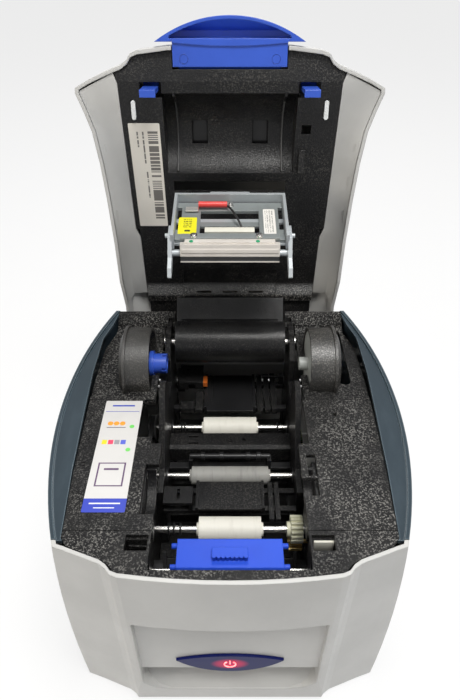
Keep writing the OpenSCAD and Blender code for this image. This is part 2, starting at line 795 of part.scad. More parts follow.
module platen_sleeve() color([0.25, 0.26, 0.28]) at_hinge() {
    tyre(platen_y, platen_z, platen_r, platen_half);
}

module front_shaft() color("silver") at_hinge() shaft(front_y, feed_z, belt_x + 7, plate_out + plate_t - 0.1);

module front_tyre() color("ivory") at_hinge() tyre(front_y, feed_z, tyre_r, tyre_half);

// Involute-like tooth outline of n teeth; thin narrows the teeth for backlash
module gear_outline(n, m, thin) {
    r = n * m / 2;
    step = 360 / n;
    tip = step * 0.13;
    mid = step * 0.25 - thin / r * 28.6;
    root = step * 0.33;
    polygon([for (i = [0:n - 1]) each
        [for (q = [[r - 1.2 * m, -root], [r, -mid], [r + 0.9 * m, -tip], [r + 0.9 * m, tip], [r, mid],
            [r - 1.2 * m, root]])
            q[0] * [cos(i * step + q[1]), sin(i * step + q[1])]]]);
}

// A gear along X with its bore, turned by phase
module gear(n, m, x0, w, y, z, bore, phase, thin = 0.12) {
    difference() {
        translate([x0, -y, z]) rotate([90, 0, 90]) linear_extrude(w) rotate(phase) gear_outline(n, m, thin);
        rod(bore, x0 - 1, w + 2, -y, z);
    }
}

// Cream gear at the right end of the front roller
module roller_gears() color([0.93, 0.9, 0.74]) at_hinge() {
    gear(gear_n, gear_m, 41, 8, front_y, feed_z, shaft_r + 0.01, 0);
    difference() {
        rod(gear_r - 3.5, 38.5, 2.49, -front_y, feed_z);
        rod(shaft_r + 0.01, 38, 3, -front_y, feed_z);
    }
}

module feed_pinion() color([0.75, 0.65, 0.35]) at_hinge() {
    gear(pinion_n, gear_m, 40.5, 9, front_y, feed_z - axle_drop, 1.5, 0);
    rod(1.49, 40, plate_out + plate_t + 4 - 40, -front_y, feed_z - axle_drop);
}

// A square stepper motor with its flange boss, whose shaft hole is along X
module motor(x0, y, z) {
    difference() {
        union() {
            block([x0, -y - 21, z - 21], [x0 + 32, -y + 21, z + 21]);
        }
        for (a = [-21, 21], b = [-21, 21])
            translate([x0 - 1, -y + a, z + b]) rotate([45, 0, 0]) block([0, -2.4, -2.4], [40, 2.4, 2.4]);
        rod(1.7, x0 - 1, 20, -y, z);
    }
}

module feed_motor() color([0.3, 0.3, 0.32]) at_hinge() {
    motor(plate_out + plate_t + 0.3, front_y, feed_z - axle_drop);
}

// A flanged pulley on the left end of a shaft, as large as the roller it turns
module pulley(y, z, r) mirror([1, 0, 0]) difference() {
    union() {
        rod(r, belt_x, 6, -y, z);
        for (x = [belt_x, belt_x + 5]) rod(r + flange, x, 1, -y, z);
    }
    rod(shaft_r + 0.01, belt_x - 1, 8, -y, z);
}

module rear_pulley() color("gray") at_hinge() pulley(rear_y, feed_z, tyre_r);

module platen_pulley() color("gray") at_hinge() pulley(platen_y, platen_z, platen_r);

module front_pulley() color("gray") at_hinge() pulley(front_y, feed_z, tyre_r);

// Flat belt round the rear and front pulleys, whose upper run rolls on the platen's pulley
module feed_belt() color([0.06, 0.06, 0.06]) at_hinge() mirror([1, 0, 0])
    difference() {
        belt_loop(tyre_r + belt_gap + belt_t, belt_x + 3 - belt_w / 2, belt_w);
        belt_loop(tyre_r + belt_gap, belt_x, 6);
    }

module belt_loop(r, x0, w) {
    for (y = [rear_y, front_y]) rod(r, x0, w, -y, feed_z);
    block([x0, -front_y, feed_z - r], [x0 + w, -rear_y, feed_z + r]);
}

// ---- Cleaning cartridge, button, electronics ----

// Blue cartridge with a ribbed grip, open below for its roller
module cleaning_cartridge() color("royalblue") at_hinge() {
    top = 0;
    difference() {
        union() {
            slab(-29.7, 59.4)
                polygon([[-198.6, -30], [-198.6, top - 2], [-197.5, top], [-180, top], [-178.8, top - 1.5],
                    [-178.8, -20], [-182, -30]]);
            // Locating pegs
            both() for (p = [[-182, -4], [-195, -4]]) rod(1.6, 29.5, 3.6, p[0], p[1]);
        }
        slab(-27.7, 55.4) polygon([[-196.8, -31], [-196.8, -2], [-180.6, -2], [-180.6, -20], [-183, -31]]);
        both() rod(2.05, 27, 4, -189.5, -26);
    }
    // Wavy grip
    block([-10, -192.5, top - 0.01], [10, -187, top + 3.4]);
    for (i = [0:7]) translate([-8.75 + i * 2.5, -192.5, top - 0.01]) cylinder(r = 1.25, h = 3.4, $fn = 24);
}

// Tacky roller that takes dust off the card
module cleaning_roller() color([0.75, 0.72, 0.65]) at_hinge() {
    rod(2, -29, 58, -189.5, -26);
    difference() {
        rod(5, -26.5, 53, -189.5, -26);
        rod(2.01, -27, 54, -189.5, -26);
    }
}

// Lens-shaped power button with the stem of its switch behind it
module power_button() color([0.12, 0.16, 0.5]) at_hinge() {
    button_lens(-front_reach + 5.4, 3.2, 0);
    block([-5, -front_reach + 8.59, button_z - 8], [5, -front_reach + 15.6, button_z - 3]);
}

// Main board standing behind the right side plate
module circuit_board() color("darkgreen") at_hinge() {
    block([60, -90, -150], [61.6, 0, -80]);
    for (p = [[-80, -140, 14, 10], [-50, -130, 18, 18], [-25, -145, 12, 12]])
        block([61.61, p[0], p[1]], [65, p[0] + p[2], p[1] + p[3]]);
    for (z = [-145, -95]) block([plate_in + plate_t + 0.3, -88, z], [59.99, -84, z + 4]);
}

// Power inlet and data socket in the back panel
module power_inlet() color([0.08, 0.08, 0.09]) at_hinge() {
    difference() {
        union() {
            block([-inlet_half, back_reach - 16, inlet_z - 10], [inlet_half, back_reach, inlet_z + 10]);
            block([-inlet_half - 2.5, back_reach, inlet_z - 12], [inlet_half + 2.5, back_reach + 1.6, inlet_z + 12]);
        }
        block([-11.5, back_reach - 12, inlet_z - 7.5], [11.5, back_reach + 2, inlet_z + 7.5]);
    }
    for (x = [-7, 0, 7]) block([x - 1, back_reach - 12.01, inlet_z - 1 + (x == 0 ? 3 : -2)],
        [x + 1, back_reach - 2, inlet_z + 3 + (x == 0 ? 3 : -2)]);
    difference() {
        block([28.3, back_reach - 14, inlet_z - 6.2], [40.2, back_reach + 0.8, inlet_z + 5.2]);
        block([29.8, back_reach - 10, inlet_z - 4.7], [38.7, back_reach + 2, inlet_z + 3.7]);
    }
    block([32, back_reach - 10.01, inlet_z - 2], [36.5, back_reach - 2, inlet_z + 1]);
}

// ---- Lid, drawn closed and turned up by on_lid() ----

// Half of the lid's rim in plan, from the middle of the front to the back
function lid_line(d) = [[0, -front_reach - 2.5 + d], [40, -front_reach - 0.9 + d],
    [brow_half - 4, -front_reach + 1.4 + d], [brow_half + 0.5, -front_reach + 3.2 + d],
    [brow_half + 3, -front_reach + 7 + d], [brow_half + 7, -front_reach + 9.8 + d],
    [brow_half + 17, -front_reach + 13.6 + d], [brow_half + 29, -front_reach + 18.6 + d],
    [100.8 - d, -front_reach + 23.2 + d * 0.5], [101.2 - d, -184], [97.5 - d, -173.5], [93.4 - d, -160],
    [90.6 - d, -138], [88.8 - d, -113], [87.2 - d, -80], [86.5 - d, -40], [86.2 - d, 30]];

// Height of the lid's rim, closed, at y
function lid_rim(y) = rim_z(y) + 1.1;

// The lid's side view; the underside follows the rim and clears the back roll
module lid_side(d, open) {
    top = lid_top;
    slab(-120, 240)
        polygon(concat(
            [[-front_reach - 3 + d, lid_rim(-200) - open], [-front_reach - 3 + d, 15],
             [-front_reach - 1.5 + d, 19 - d * 0.5]],
            [for (i = [0:16]) let (u = 1 - i / 16)
                [-20 - (front_reach - 25 - d) * u, top - d - (top - 27) * pow(u, 2.9)]],
            [[0, top - 1 - d], [12 - d * 0.3, top - 4 - d]],
            arc([14 - d, top - 12], 8, 60, 0, 3),
            [[22.5 - d, roll_r + 1 - open]],
            [[17 - d, roll_r - open + 1.2], [-18, roll_r + 0.6 - open], [-46, lid_rim(-46) - open],
             [-100, lid_rim(-100) - open], [-side_cut, lid_rim(-side_cut) - open]]));
}

// The domed cross-section of the lid, full at the shoulders
module lid_dome(d) {
    half = concat([[104 - d, -30]], [for (i = [1:20]) let (a = 90 * i / 20)
        [(104 - d) * pow(cos(a), 0.8), (lid_top + 2 - d) * pow(sin(a), 0.7)]]);
    curtain(-240, 300) polygon(concat(half, mirrored(half)));
}

module lid_form(d, open) {
    intersection() {
        rise(-20, 120) polygon(concat(lid_line(d), mirrored(lid_line(d))));
        lid_side(d, open);
        lid_dome(d);
    }
}

module lid_shell() color("whitesmoke") on_lid() {
    difference() {
        lid_form(0, 0);
        difference() {
            lid_form(lid_wall, 8);
            // The front lip stays solid behind the latch
            block([-handle_half, -front_reach - 10, -30], [handle_half, -front_reach + 1, 12]);
        }
        // Opening for the latch's neck
        block([-37.2, -front_reach - 10, -30], [37.2, -190, 12.4]);
    }
}

// Height of the cheeks' lower edge, which follows the rim and then the back roll
function cheek_z(y) = y < -46 ? lid_rim(y) + 0.8 :
    lid_rim(-46) + 0.8 + (roll_r + 1 - lid_rim(-46)) * (y + 46) / 28;

// White inner cheeks that slope from the lid's rim to the liner's edges, bellied out past the drums
module lid_cheeks() color("whitesmoke") on_lid() {
    rim = lid_line(lid_wall + shell_gap);
    side = liner_half + edge_gap;
    back = side - liner_step;
    // Each row: outer point, inner point, and how far the belly goes from the straight slope
    rows = concat(
        [[[rim[9].x - 0.5, rim[9].y - 1.6], [side + 2.2, -liner_front - 5], 0],
         [rim[9], [side, -liner_front + 1], 0.1], [rim[10], [side, rim[10].y - 2], 0.2]],
        [for (i = [11:13]) [rim[i], [side, rim[i].y], 0.3 + 0.1 * (i - 11)]],
        [[[rim[14].x + 0.2, -84], [side, -84], 0.6], [[rim[14].x, -76], [back, -76], 0.7],
         [[rim[14].x - 0.1, -62], [back, -62], 0.9], [[rim[15].x, -46], [back, -46], 1],
         [[rim[15].x - 0.1, -22], [back, -22], 1]]);
    points = [for (r = rows) let (
            low = [r[0].x, r[0].y, cheek_z(r[0].y)],
            high = [r[1].x, r[1].y, max(liner_z(r[1].y), low.z)],
            knee = (low + high) / 2 + r[2] * [4.2, 0, 8],
            lift = [0, 0, cheek_t]) each
        [low, knee, high, high + lift, knee + lift + r[2] * [1.2, 0, 0], low + lift]];
    last = 6 * len(rows) - 6;
    both() polyhedron(points = points, faces = concat(
        [for (f = [[0, 1, 4], [0, 4, 5], [1, 2, 3], [1, 3, 4]]) each
            [f, [last + f[2], last + f[1], last + f[0]]]],
        [for (i = [0:6:last - 6], k = [0:5]) let (a = i + k, b = i + (k + 1) % 6) each
            [[a, a + 6, b + 6], [a, b + 6, b]]]));
}

// Black liner: sloping plate, front bevel, side flanges, spool pocket and the back wall
module lid_liner() color([0.11, 0.11, 0.12]) on_lid() {
    t = 2.2;
    y_step = -83;
    y_back = -13;
    y_panel = -45;
    difference() {
        union() {
            intersection() {
                lid_form(lid_wall + shell_gap, 6);
                slab(-120, 240)
                    polygon(concat(
                        [[-front_reach, 10.4], [-liner_front, liner_z(-liner_front)],
                         [y_back, liner_z(y_back)], [y_back, liner_z(y_back) + t],
                         [-liner_front, liner_z(-liner_front) + t], [-front_reach, 10.4 + t]]));
                union() {
                    block([-liner_half, -liner_front - 6, -10], [liner_half, y_step, 80]);
                    block([-liner_half + liner_step, y_step - 1, -10], [liner_half - liner_step, 0, 80]);
                    rise(-10, 90) polygon([[-liner_half, -liner_front + 1], [-liner_half - 5, -front_reach],
                        [liner_half + 5, -front_reach], [liner_half, -liner_front + 1]]);
                }
            }
            // Spool pocket
            intersection() {
                rod(pocket_r + t, -45 - t, 90 + 2 * t, -154, liner_z(-154) - 11);
                slab(-60, 120) polygon([[-190, liner_z(-190)], [-120, liner_z(-120)], [-120, 80], [-190, 80]]);
            }
        }
        rod(pocket_r, -45, 90, -154, liner_z(-154) - 11);
        // Slot above the print head
        block([-41, -122.5, 0], [41, -115, 60]);
        // Hook slots, the square hole and the pocket's two windows
        both() block([hook_mid - 7, latch_y + 2.9, -5], [hook_mid + 7, latch_y + 12.5, 40]);
        block([49, -163, 0], [55.5, -157, 40]);
        both() block([16, -163, 10], [27.3, -147, 60]);
        both() hull_bar(64.4, -180, -166.5);
        // Room for the latch plate
        block([-37.2, -front_reach - 5, -10], [37.2, -198, 30]);
        // Shallow panel ahead of the barrel, with three slots near its back edge
        slab(4 - barrel_half, 2 * barrel_half - 8)
            polygon([[y_panel, liner_z(y_panel) - 2], [-10, liner_z(-10) - 2], [-10, liner_z(-10) + 0.9],
                [y_panel, liner_z(y_panel) + 0.9]]);
        for (x = [-22, 0, 22]) block([x - 6, -23, 30], [x + 6, -20.6, 60]);
        // Room for the neck of the barrel
        block([-barrel_half - 0.4, -17, 20], [barrel_half + 0.4, 10, 80]);
    }
    // Curved ribs inside the spool pocket
    both() difference() {
        rod(pocket_r + 0.6, 36.5, 1.4, -154, liner_z(-154) - 11);
        rod(pocket_r - 2, 36, 3, -154, liner_z(-154) - 11);
        slab(30, 10) polygon([[-200, liner_z(-200) + 0.6], [-100, liner_z(-100) + 0.6], [-100, -60], [-200, -60]]);
    }
    // Raised tab on the right
    block([48.5, -146, liner_z(-146) - 1.4], [52.5, -130, liner_z(-130) + 0.5]);
}

// A round-ended opening along Y through the liner
module hull_bar(x, y0, y1) {
    block([x - 1.9, y0 + 1.9, -5], [x + 1.9, y1 - 1.9, 30]);
    for (y = [y0 + 1.9, y1 - 1.9]) translate([x, y, -5]) cylinder(r = 1.9, h = 35);
}

// Clear plastic light pipes that stand in two openings of the liner
module light_pipes() color("white") on_lid() {
    both() {
        block([63, -178, liner_z(-172) - 1.5], [65.8, -168.5, liner_z(-172) + 7]);
        for (y = [-178, -168.5]) translate([64.4, y, liner_z(-172) - 1.5]) cylinder(r = 1.4, h = 8.5);
    }
}

// Hinge barrel with the guard plate and the neck that carries the lid
module hinge_barrel() color([0.12, 0.12, 0.13]) on_lid() {
    neck_z = liner_z(-12);
    difference() {
        union() {
            rod(barrel_r, -barrel_half, 2 * barrel_half, 0, 0);
            slab(-barrel_half, 2 * barrel_half)
                polygon([[-13, 9], [-29, 20.5], [-28, 23.5], [-24.5, 24.5], [-6, 16]]);
            slab(-barrel_half + 4, 2 * barrel_half - 8)
                polygon([[-15, 8], [-16, 24], [-16.5, neck_z + 1.2], [0, neck_z + 1.2], [0, 24], [6, 14]]);
        }
        both() rod(pin_r + run, barrel_half - 12, 13, 0, 0);
        block([-30, -12, 20], [30, -4, neck_z - 2]);
    }
}

// Blue latch: handle with finger scoop, plate, bar and two hooks
module latch() color("royalblue") on_lid() {
    arc_r = (handle_half * handle_half + handle_reach * handle_reach) / (2 * handle_reach);
    lip_r = (handle_half * handle_half + 9) / 6;
    y0 = -front_reach - 4.4;
    difference() {
        intersection() {
            translate([0, y0 - handle_reach + arc_r, 8]) cylinder(r = arc_r, h = 12, $fn = 160);
            slab(-60, 120)
                polygon([[y0 - handle_reach - 1, 8], [y0 - handle_reach - 1, 10.5], [y0 - 6, 19.5], [y0 + 1.2, 20],
                    [y0 + 1.2, 8]]);
        }
        // Finger scoop, open below
        intersection() {
            translate([0, y0 - handle_reach + arc_r, 7]) cylinder(r = arc_r - 2, h = 9.5, $fn = 160);
            slab(-38.5, 77)
                polygon([[y0 - handle_reach - 1, 7], [y0 - handle_reach + 1, 9], [y0 - 4.8, 16.5], [y0 - 0.7, 16.5],
                    [y0 - 0.7, 7]]);
        }
    }
    // Curved lip over the root of the plate
    intersection() {
        translate([0, y0 + 3.6 - lip_r, 7.2]) cylinder(r = lip_r, h = 3, $fn = 200);
        block([-36.6, y0 - 0.7, 7], [36.6, y0 + 6, 11]);
    }
    block([-36.6, y0 + 0.4, 8], [36.6, latch_y - 5.9, 9.9]);
    slab(-33, 66) polygon([[-201.4, 9.89], [-199.4, 9.89], [-192, 14], [-192, 17], [-195, 17]]);
    // Bar across, with a hook at each end
    block([-hook_mid - 5, -195.4, 14.5], [hook_mid + 5, -191.6, 17.2]);
    both() slab(hook_mid - 5, 10)
        polygon([[-191.7, 17.2], [-186.5, 16.6], [-185.2, 14.5], [-185.2, -6.4], [-183.2, -6.4], [-183.6, -9.5],
            [-188, -9.5], [-188, 12.5], [-191.7, 14.5]]);
    // Stub axles
    both() rod(1.8, hook_mid + 4.9, 6, latch_y, latch_z);
}

// ---- Print head, hanging in the lid ----

// The head's own frame: origin at the heat line, +Z along its plate
module at_head() translate([0, head_y, head_z]) rotate([head_tilt, 0, 0]) children();

// Grey carrier: top wall, two side walls and the arms that reach past the platen shaft
module head_carrier() color("slategray") on_lid() {
    at_head() {
        difference() {
            block([-head_half, -8, 3], [head_half, 3, 53]);
            block([-head_half + 2, -9, 2], [head_half - 2, 4, 51]);
        }
        // Raised middle of the top wall, with the hanger
        block([-14, -7.6, 52], [14, 2.6, 55]);
        block([-head_half + 1, 1, 30], [head_half - 1, 2.7, 34]);
        block([-head_half + 1, 1, 6], [head_half - 1, 2.7, 10]);
        both() rod(1.6, head_half - 1, 5.4, -1, 12);
    }
    both() {
        slab(head_half - 0.6, 2.6)
            polygon([[-107, head_z + 15], [-103, head_z + 3], [-91, head_z - 2.4], [-86.5, head_z - 9],
                [-81, head_z - 11.5], [-79.5, head_z - 9.5], [-84, head_z], [-90, head_z + 10],
                [-100, head_z + 19]]);
        rod(2.2, head_half - 6, 8.5, -92, head_z + 4);
    }
    // Lugs that hang on the pivot pin
    both() difference() {
        union() {
            slab(26, 2.4) polygon([[-114, head_z + 50], [-106, head_z + 52], [-108.5, head_z + 61],
                [-115.5, head_z + 61]]);
            rod(3.2, 26, 2.4, pivot_y, pivot_z);
        }
        rod(1.5 + run, 25, 5, pivot_y, pivot_z);
    }
}

// Plate that carries the heat bar, with its window
module head_plate() color([0.42, 0.47, 0.46]) on_lid() at_head() {
    difference() {
        union() {
            block([-head_half + 2.2, -1.6, 7], [head_half - 2.2, 0.7, 50]);
            block([-33, -2.6, 7], [33, -1.59, 12]);
        }
        block([-20.5, -4, 14], [20, 3, 40]);
        both() block([head_half - 5.5, -4, 18], [head_half - 1, 3, 44]);
    }
    block([-20.5, 0.69, 25], [20, 2.4, 30]);
}

// Heat bar with its ceramic edge
module heat_bar() color([0.72, 0.7, 0.67]) on_lid() {
    difference() {
        block([-33, -99, head_z + 0.4], [33, -90, head_z + 5.6]);
        block([-36, -90.8, head_z - 1], [36, -89, head_z + 1.5]);
    }
    block([-33, -89.99, head_z + 1.8], [33, -86, head_z + 4.6]);
    slab(-32, 64) polygon([[-96.5, head_z + 0.41], [-95.5, head_z + 0.02], [-93.5, head_z + 0.02],
        [-92.5, head_z + 0.41]]);
    at_head() block([-30, -2, 3.2], [30, -0.4, 6.9]);
}

// White plug in the plate's window
module head_connector() color("ivory") on_lid() at_head() {
    difference() {
        block([-17, -2.5, 14.3], [16.5, 2.6, 19.5]);
        for (i = [0:9]) block([-15 + i * 3, -3, 16], [-13.4 + i * 3, -1, 20]);
    }
}

// Two screws on the bar and the centre screw
module head_screws() color([0.8, 0.8, 0.78]) on_lid() at_head() {
    for (p = [[-24, 9], [19.5, 9]]) translate([p[0], -2.6, p[1]]) rotate([90, 0, 0]) {
        cylinder(r = 2.4, h = 1.4);
        cylinder(r = 1.2, h = 1.9);
    }
    translate([0, -1.6, 45.5]) rotate([90, 0, 0]) {
        cylinder(r = 2.6, h = 1.4);
        cylinder(r = 1, h = 3);
    }
}

// Red crimp sleeve with its tinned tab, under the centre screw
module crimp_terminal() color([0.8, 0.1, 0.12]) on_lid() at_head() {
    rod(2.1, -22, 20, -5, 43);
    block([-31, -3.4, 37.5], [-22.01, -2.6, 42.5]);
}

// Black ears under the liner with the pin that the print head swings on
module head_hanger() color([0.12, 0.12, 0.13]) on_lid() {
    both() {
        slab(28.8, 2.6) polygon([[pivot_y - 4, liner_z(pivot_y - 4) - 0.01], [pivot_y - 4, pivot_z],
            [pivot_y - 2, pivot_z - 3], [pivot_y + 2, pivot_z - 3], [pivot_y + 4, pivot_z],
            [pivot_y + 4, liner_z(pivot_y + 4) - 0.01]]);
        rod(1.5, 24, 8.5, pivot_y, pivot_z);
    }
}

base_pan();
rubber_feet();
front_panel();
left_side_panel();
right_side_panel();
rear_panel();
rear_deck();
left_deck();
right_deck();
front_deck();
left_side_plate();
right_side_plate();
chassis_floor();
left_drum();
right_drum();
left_spool_hub();
right_spool_disc();
spool_cradles();
hinge_pins();
roller_bushes();
card_floor();
guide_rails();
sensor_block();
card_sensor();
sensor_bar();
pinch_rod();
centre_tray();
exit_chute();
cross_rods();
rear_shaft();
rear_tyre();
platen_shaft();
platen_sleeve();
front_shaft();
front_tyre();
roller_gears();
rear_pulley();
platen_pulley();
front_pulley();
feed_belt();
feed_motor();
feed_pinion();
cleaning_cartridge();
cleaning_roller();
power_button();
circuit_board();
power_inlet();
lid_shell();
lid_cheeks();
lid_liner();
hinge_barrel();
light_pipes();
latch();
head_hanger();
head_carrier();
head_plate();
heat_bar();
head_connector();
head_screws();
crimp_terminal();
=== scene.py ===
"""Finishes and small fittings of an open id card printer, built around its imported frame."""
import logging
import math
from dataclasses import dataclass, field
from enum import Enum
from functools import reduce
from typing import Any, Mapping, Optional, Sequence, Union

import bmesh
import bpy
from mathutils import Matrix, Vector


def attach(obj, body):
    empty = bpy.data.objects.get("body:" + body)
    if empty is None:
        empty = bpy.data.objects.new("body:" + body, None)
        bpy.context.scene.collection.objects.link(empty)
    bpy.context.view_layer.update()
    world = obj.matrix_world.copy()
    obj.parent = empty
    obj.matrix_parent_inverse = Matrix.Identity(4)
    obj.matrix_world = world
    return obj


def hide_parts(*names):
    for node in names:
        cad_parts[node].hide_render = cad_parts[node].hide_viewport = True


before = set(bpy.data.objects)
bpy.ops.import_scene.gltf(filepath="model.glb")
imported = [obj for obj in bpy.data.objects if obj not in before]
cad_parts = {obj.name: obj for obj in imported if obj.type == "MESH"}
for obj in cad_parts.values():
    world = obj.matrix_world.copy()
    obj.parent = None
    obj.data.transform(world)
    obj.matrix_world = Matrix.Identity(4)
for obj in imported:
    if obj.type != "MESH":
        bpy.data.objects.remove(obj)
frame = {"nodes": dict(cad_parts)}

log = logging.getLogger("card_printer")

Colour = tuple[float, float, float]
Point = tuple[float, float, float]
Spans = tuple[float, float, float, float]

MM = 0.001
HINGE = (0.0, 69.0, 166.0)
LID_OPEN_DEG = 98.0
LINER_SLOPE_DEG = 13.0
LINER_START = (0.0, -184.0, 8.6)
HEAD_FOOT = (0.0, -97.0, -43.6)
HEAD_TILT_DEG = 16.0
DECK_TOP = 4.5
PRINT_LIFT = 0.14


def about_x(turn_deg: float) -> Matrix:
    """Turn about the x axis."""
    return Matrix.Rotation(math.radians(turn_deg), 4, "X")


class Seat(Enum):
    """Frames that the pieces are measured in, in millimetres."""

    CASE = "case"
    LID = "lid"
    LINER = "liner"
    HEAD = "head"

    @property
    def matrix(self) -> Matrix:
        """Where the seat is.

        Returns:
            Matrix from this seat's millimetres to the part's metres.
        """
        case = Matrix.Scale(MM, 4) @ Matrix.Translation(HINGE)
        lid = case @ about_x(-LID_OPEN_DEG)
        seats = {
            Seat.CASE: case,
            Seat.LID: lid,
            Seat.LINER: lid @ Matrix.Translation(LINER_START) @ about_x(LINER_SLOPE_DEG),
            Seat.HEAD: lid @ Matrix.Translation(HEAD_FOOT) @ about_x(HEAD_TILT_DEG),
        }
        return seats[self]


# ---- Shader graph ----


class Wire:
    """One output of a shader node that takes part in plain arithmetic."""

    def __init__(self, graph: "Graph", socket: Optional[bpy.types.NodeSocket]) -> None:
        """Keeps the graph and the socket that this wire leaves."""
        self.graph = graph
        self.socket = socket

    def _math(self, operation: str, first: "Value", second: "Value" = 0.0) -> "Wire":
        """Adds a Math node and gives its result."""
        return self.graph.add("Math", {"operation": operation}, {0: first, 1: second})

    def __add__(self, other: "Value") -> "Wire":
        """Sum with a value on the right."""
        return self._math("ADD", self, other)

    def __radd__(self, other: "Value") -> "Wire":
        """Sum with a value on the left."""
        return self._math("ADD", other, self)

    def __sub__(self, other: "Value") -> "Wire":
        """Difference with a value on the right."""
        return self._math("SUBTRACT", self, other)

    def __rsub__(self, other: "Value") -> "Wire":
        """Difference with a value on the left."""
        return self._math("SUBTRACT", other, self)

    def __mul__(self, other: "Value") -> "Wire":
        """Product with a value on the right."""
        return self._math("MULTIPLY", self, other)

    def __rmul__(self, other: "Value") -> "Wire":
        """Product with a value on the left."""
        return self._math("MULTIPLY", other, self)

    def __pow__(self, other: "Value") -> "Wire":
        """Power."""
        return self._math("POWER", self, other)

    def above(self, limit: "Value") -> "Wire":
        """1 where the value is above a limit, else 0."""
        return self._math("GREATER_THAN", self, limit)

    def below(self, limit: "Value") -> "Wire":
        """1 where the value is below a limit, else 0."""
        return self._math("LESS_THAN", self, limit)

    def between(self, low: float, high: float) -> "Wire":
        """1 where the value is between two limits, else 0."""
        return self.above(low) * self.below(high)

    def either(self, other: "Value") -> "Wire":
        """The larger of two values, which joins two masks."""
        return self._math("MAXIMUM", self, other)

    def size(self) -> "Wire":
        """The value without its sign."""
        return self._math("ABSOLUTE", self)

    def wave(self) -> "Wire":
        """Sine of the value."""
        return self._math("SINE", self)

    def part(self) -> "Wire":
        """What is left of the value over its whole number."""
        return self._math("FRACT", self)

    def whole(self) -> "Wire":
        """Whole number at or under the value."""
        return self._math("FLOOR", self)

    def fade(self, low: float, high: float) -> "Wire":
        """Rises smoothly from 0 at low to 1 at high.

        Args:
            low: Value where the rise starts.
            high: Value where it ends.

        Returns:
            The mask, from 0 to 1.
        """
        settings = {"interpolation_type": "SMOOTHSTEP"}
        return self.graph.add("MapRange", settings, {"Value": self, "From Min": low, "From Max": high})


Value = Union[float, Wire]


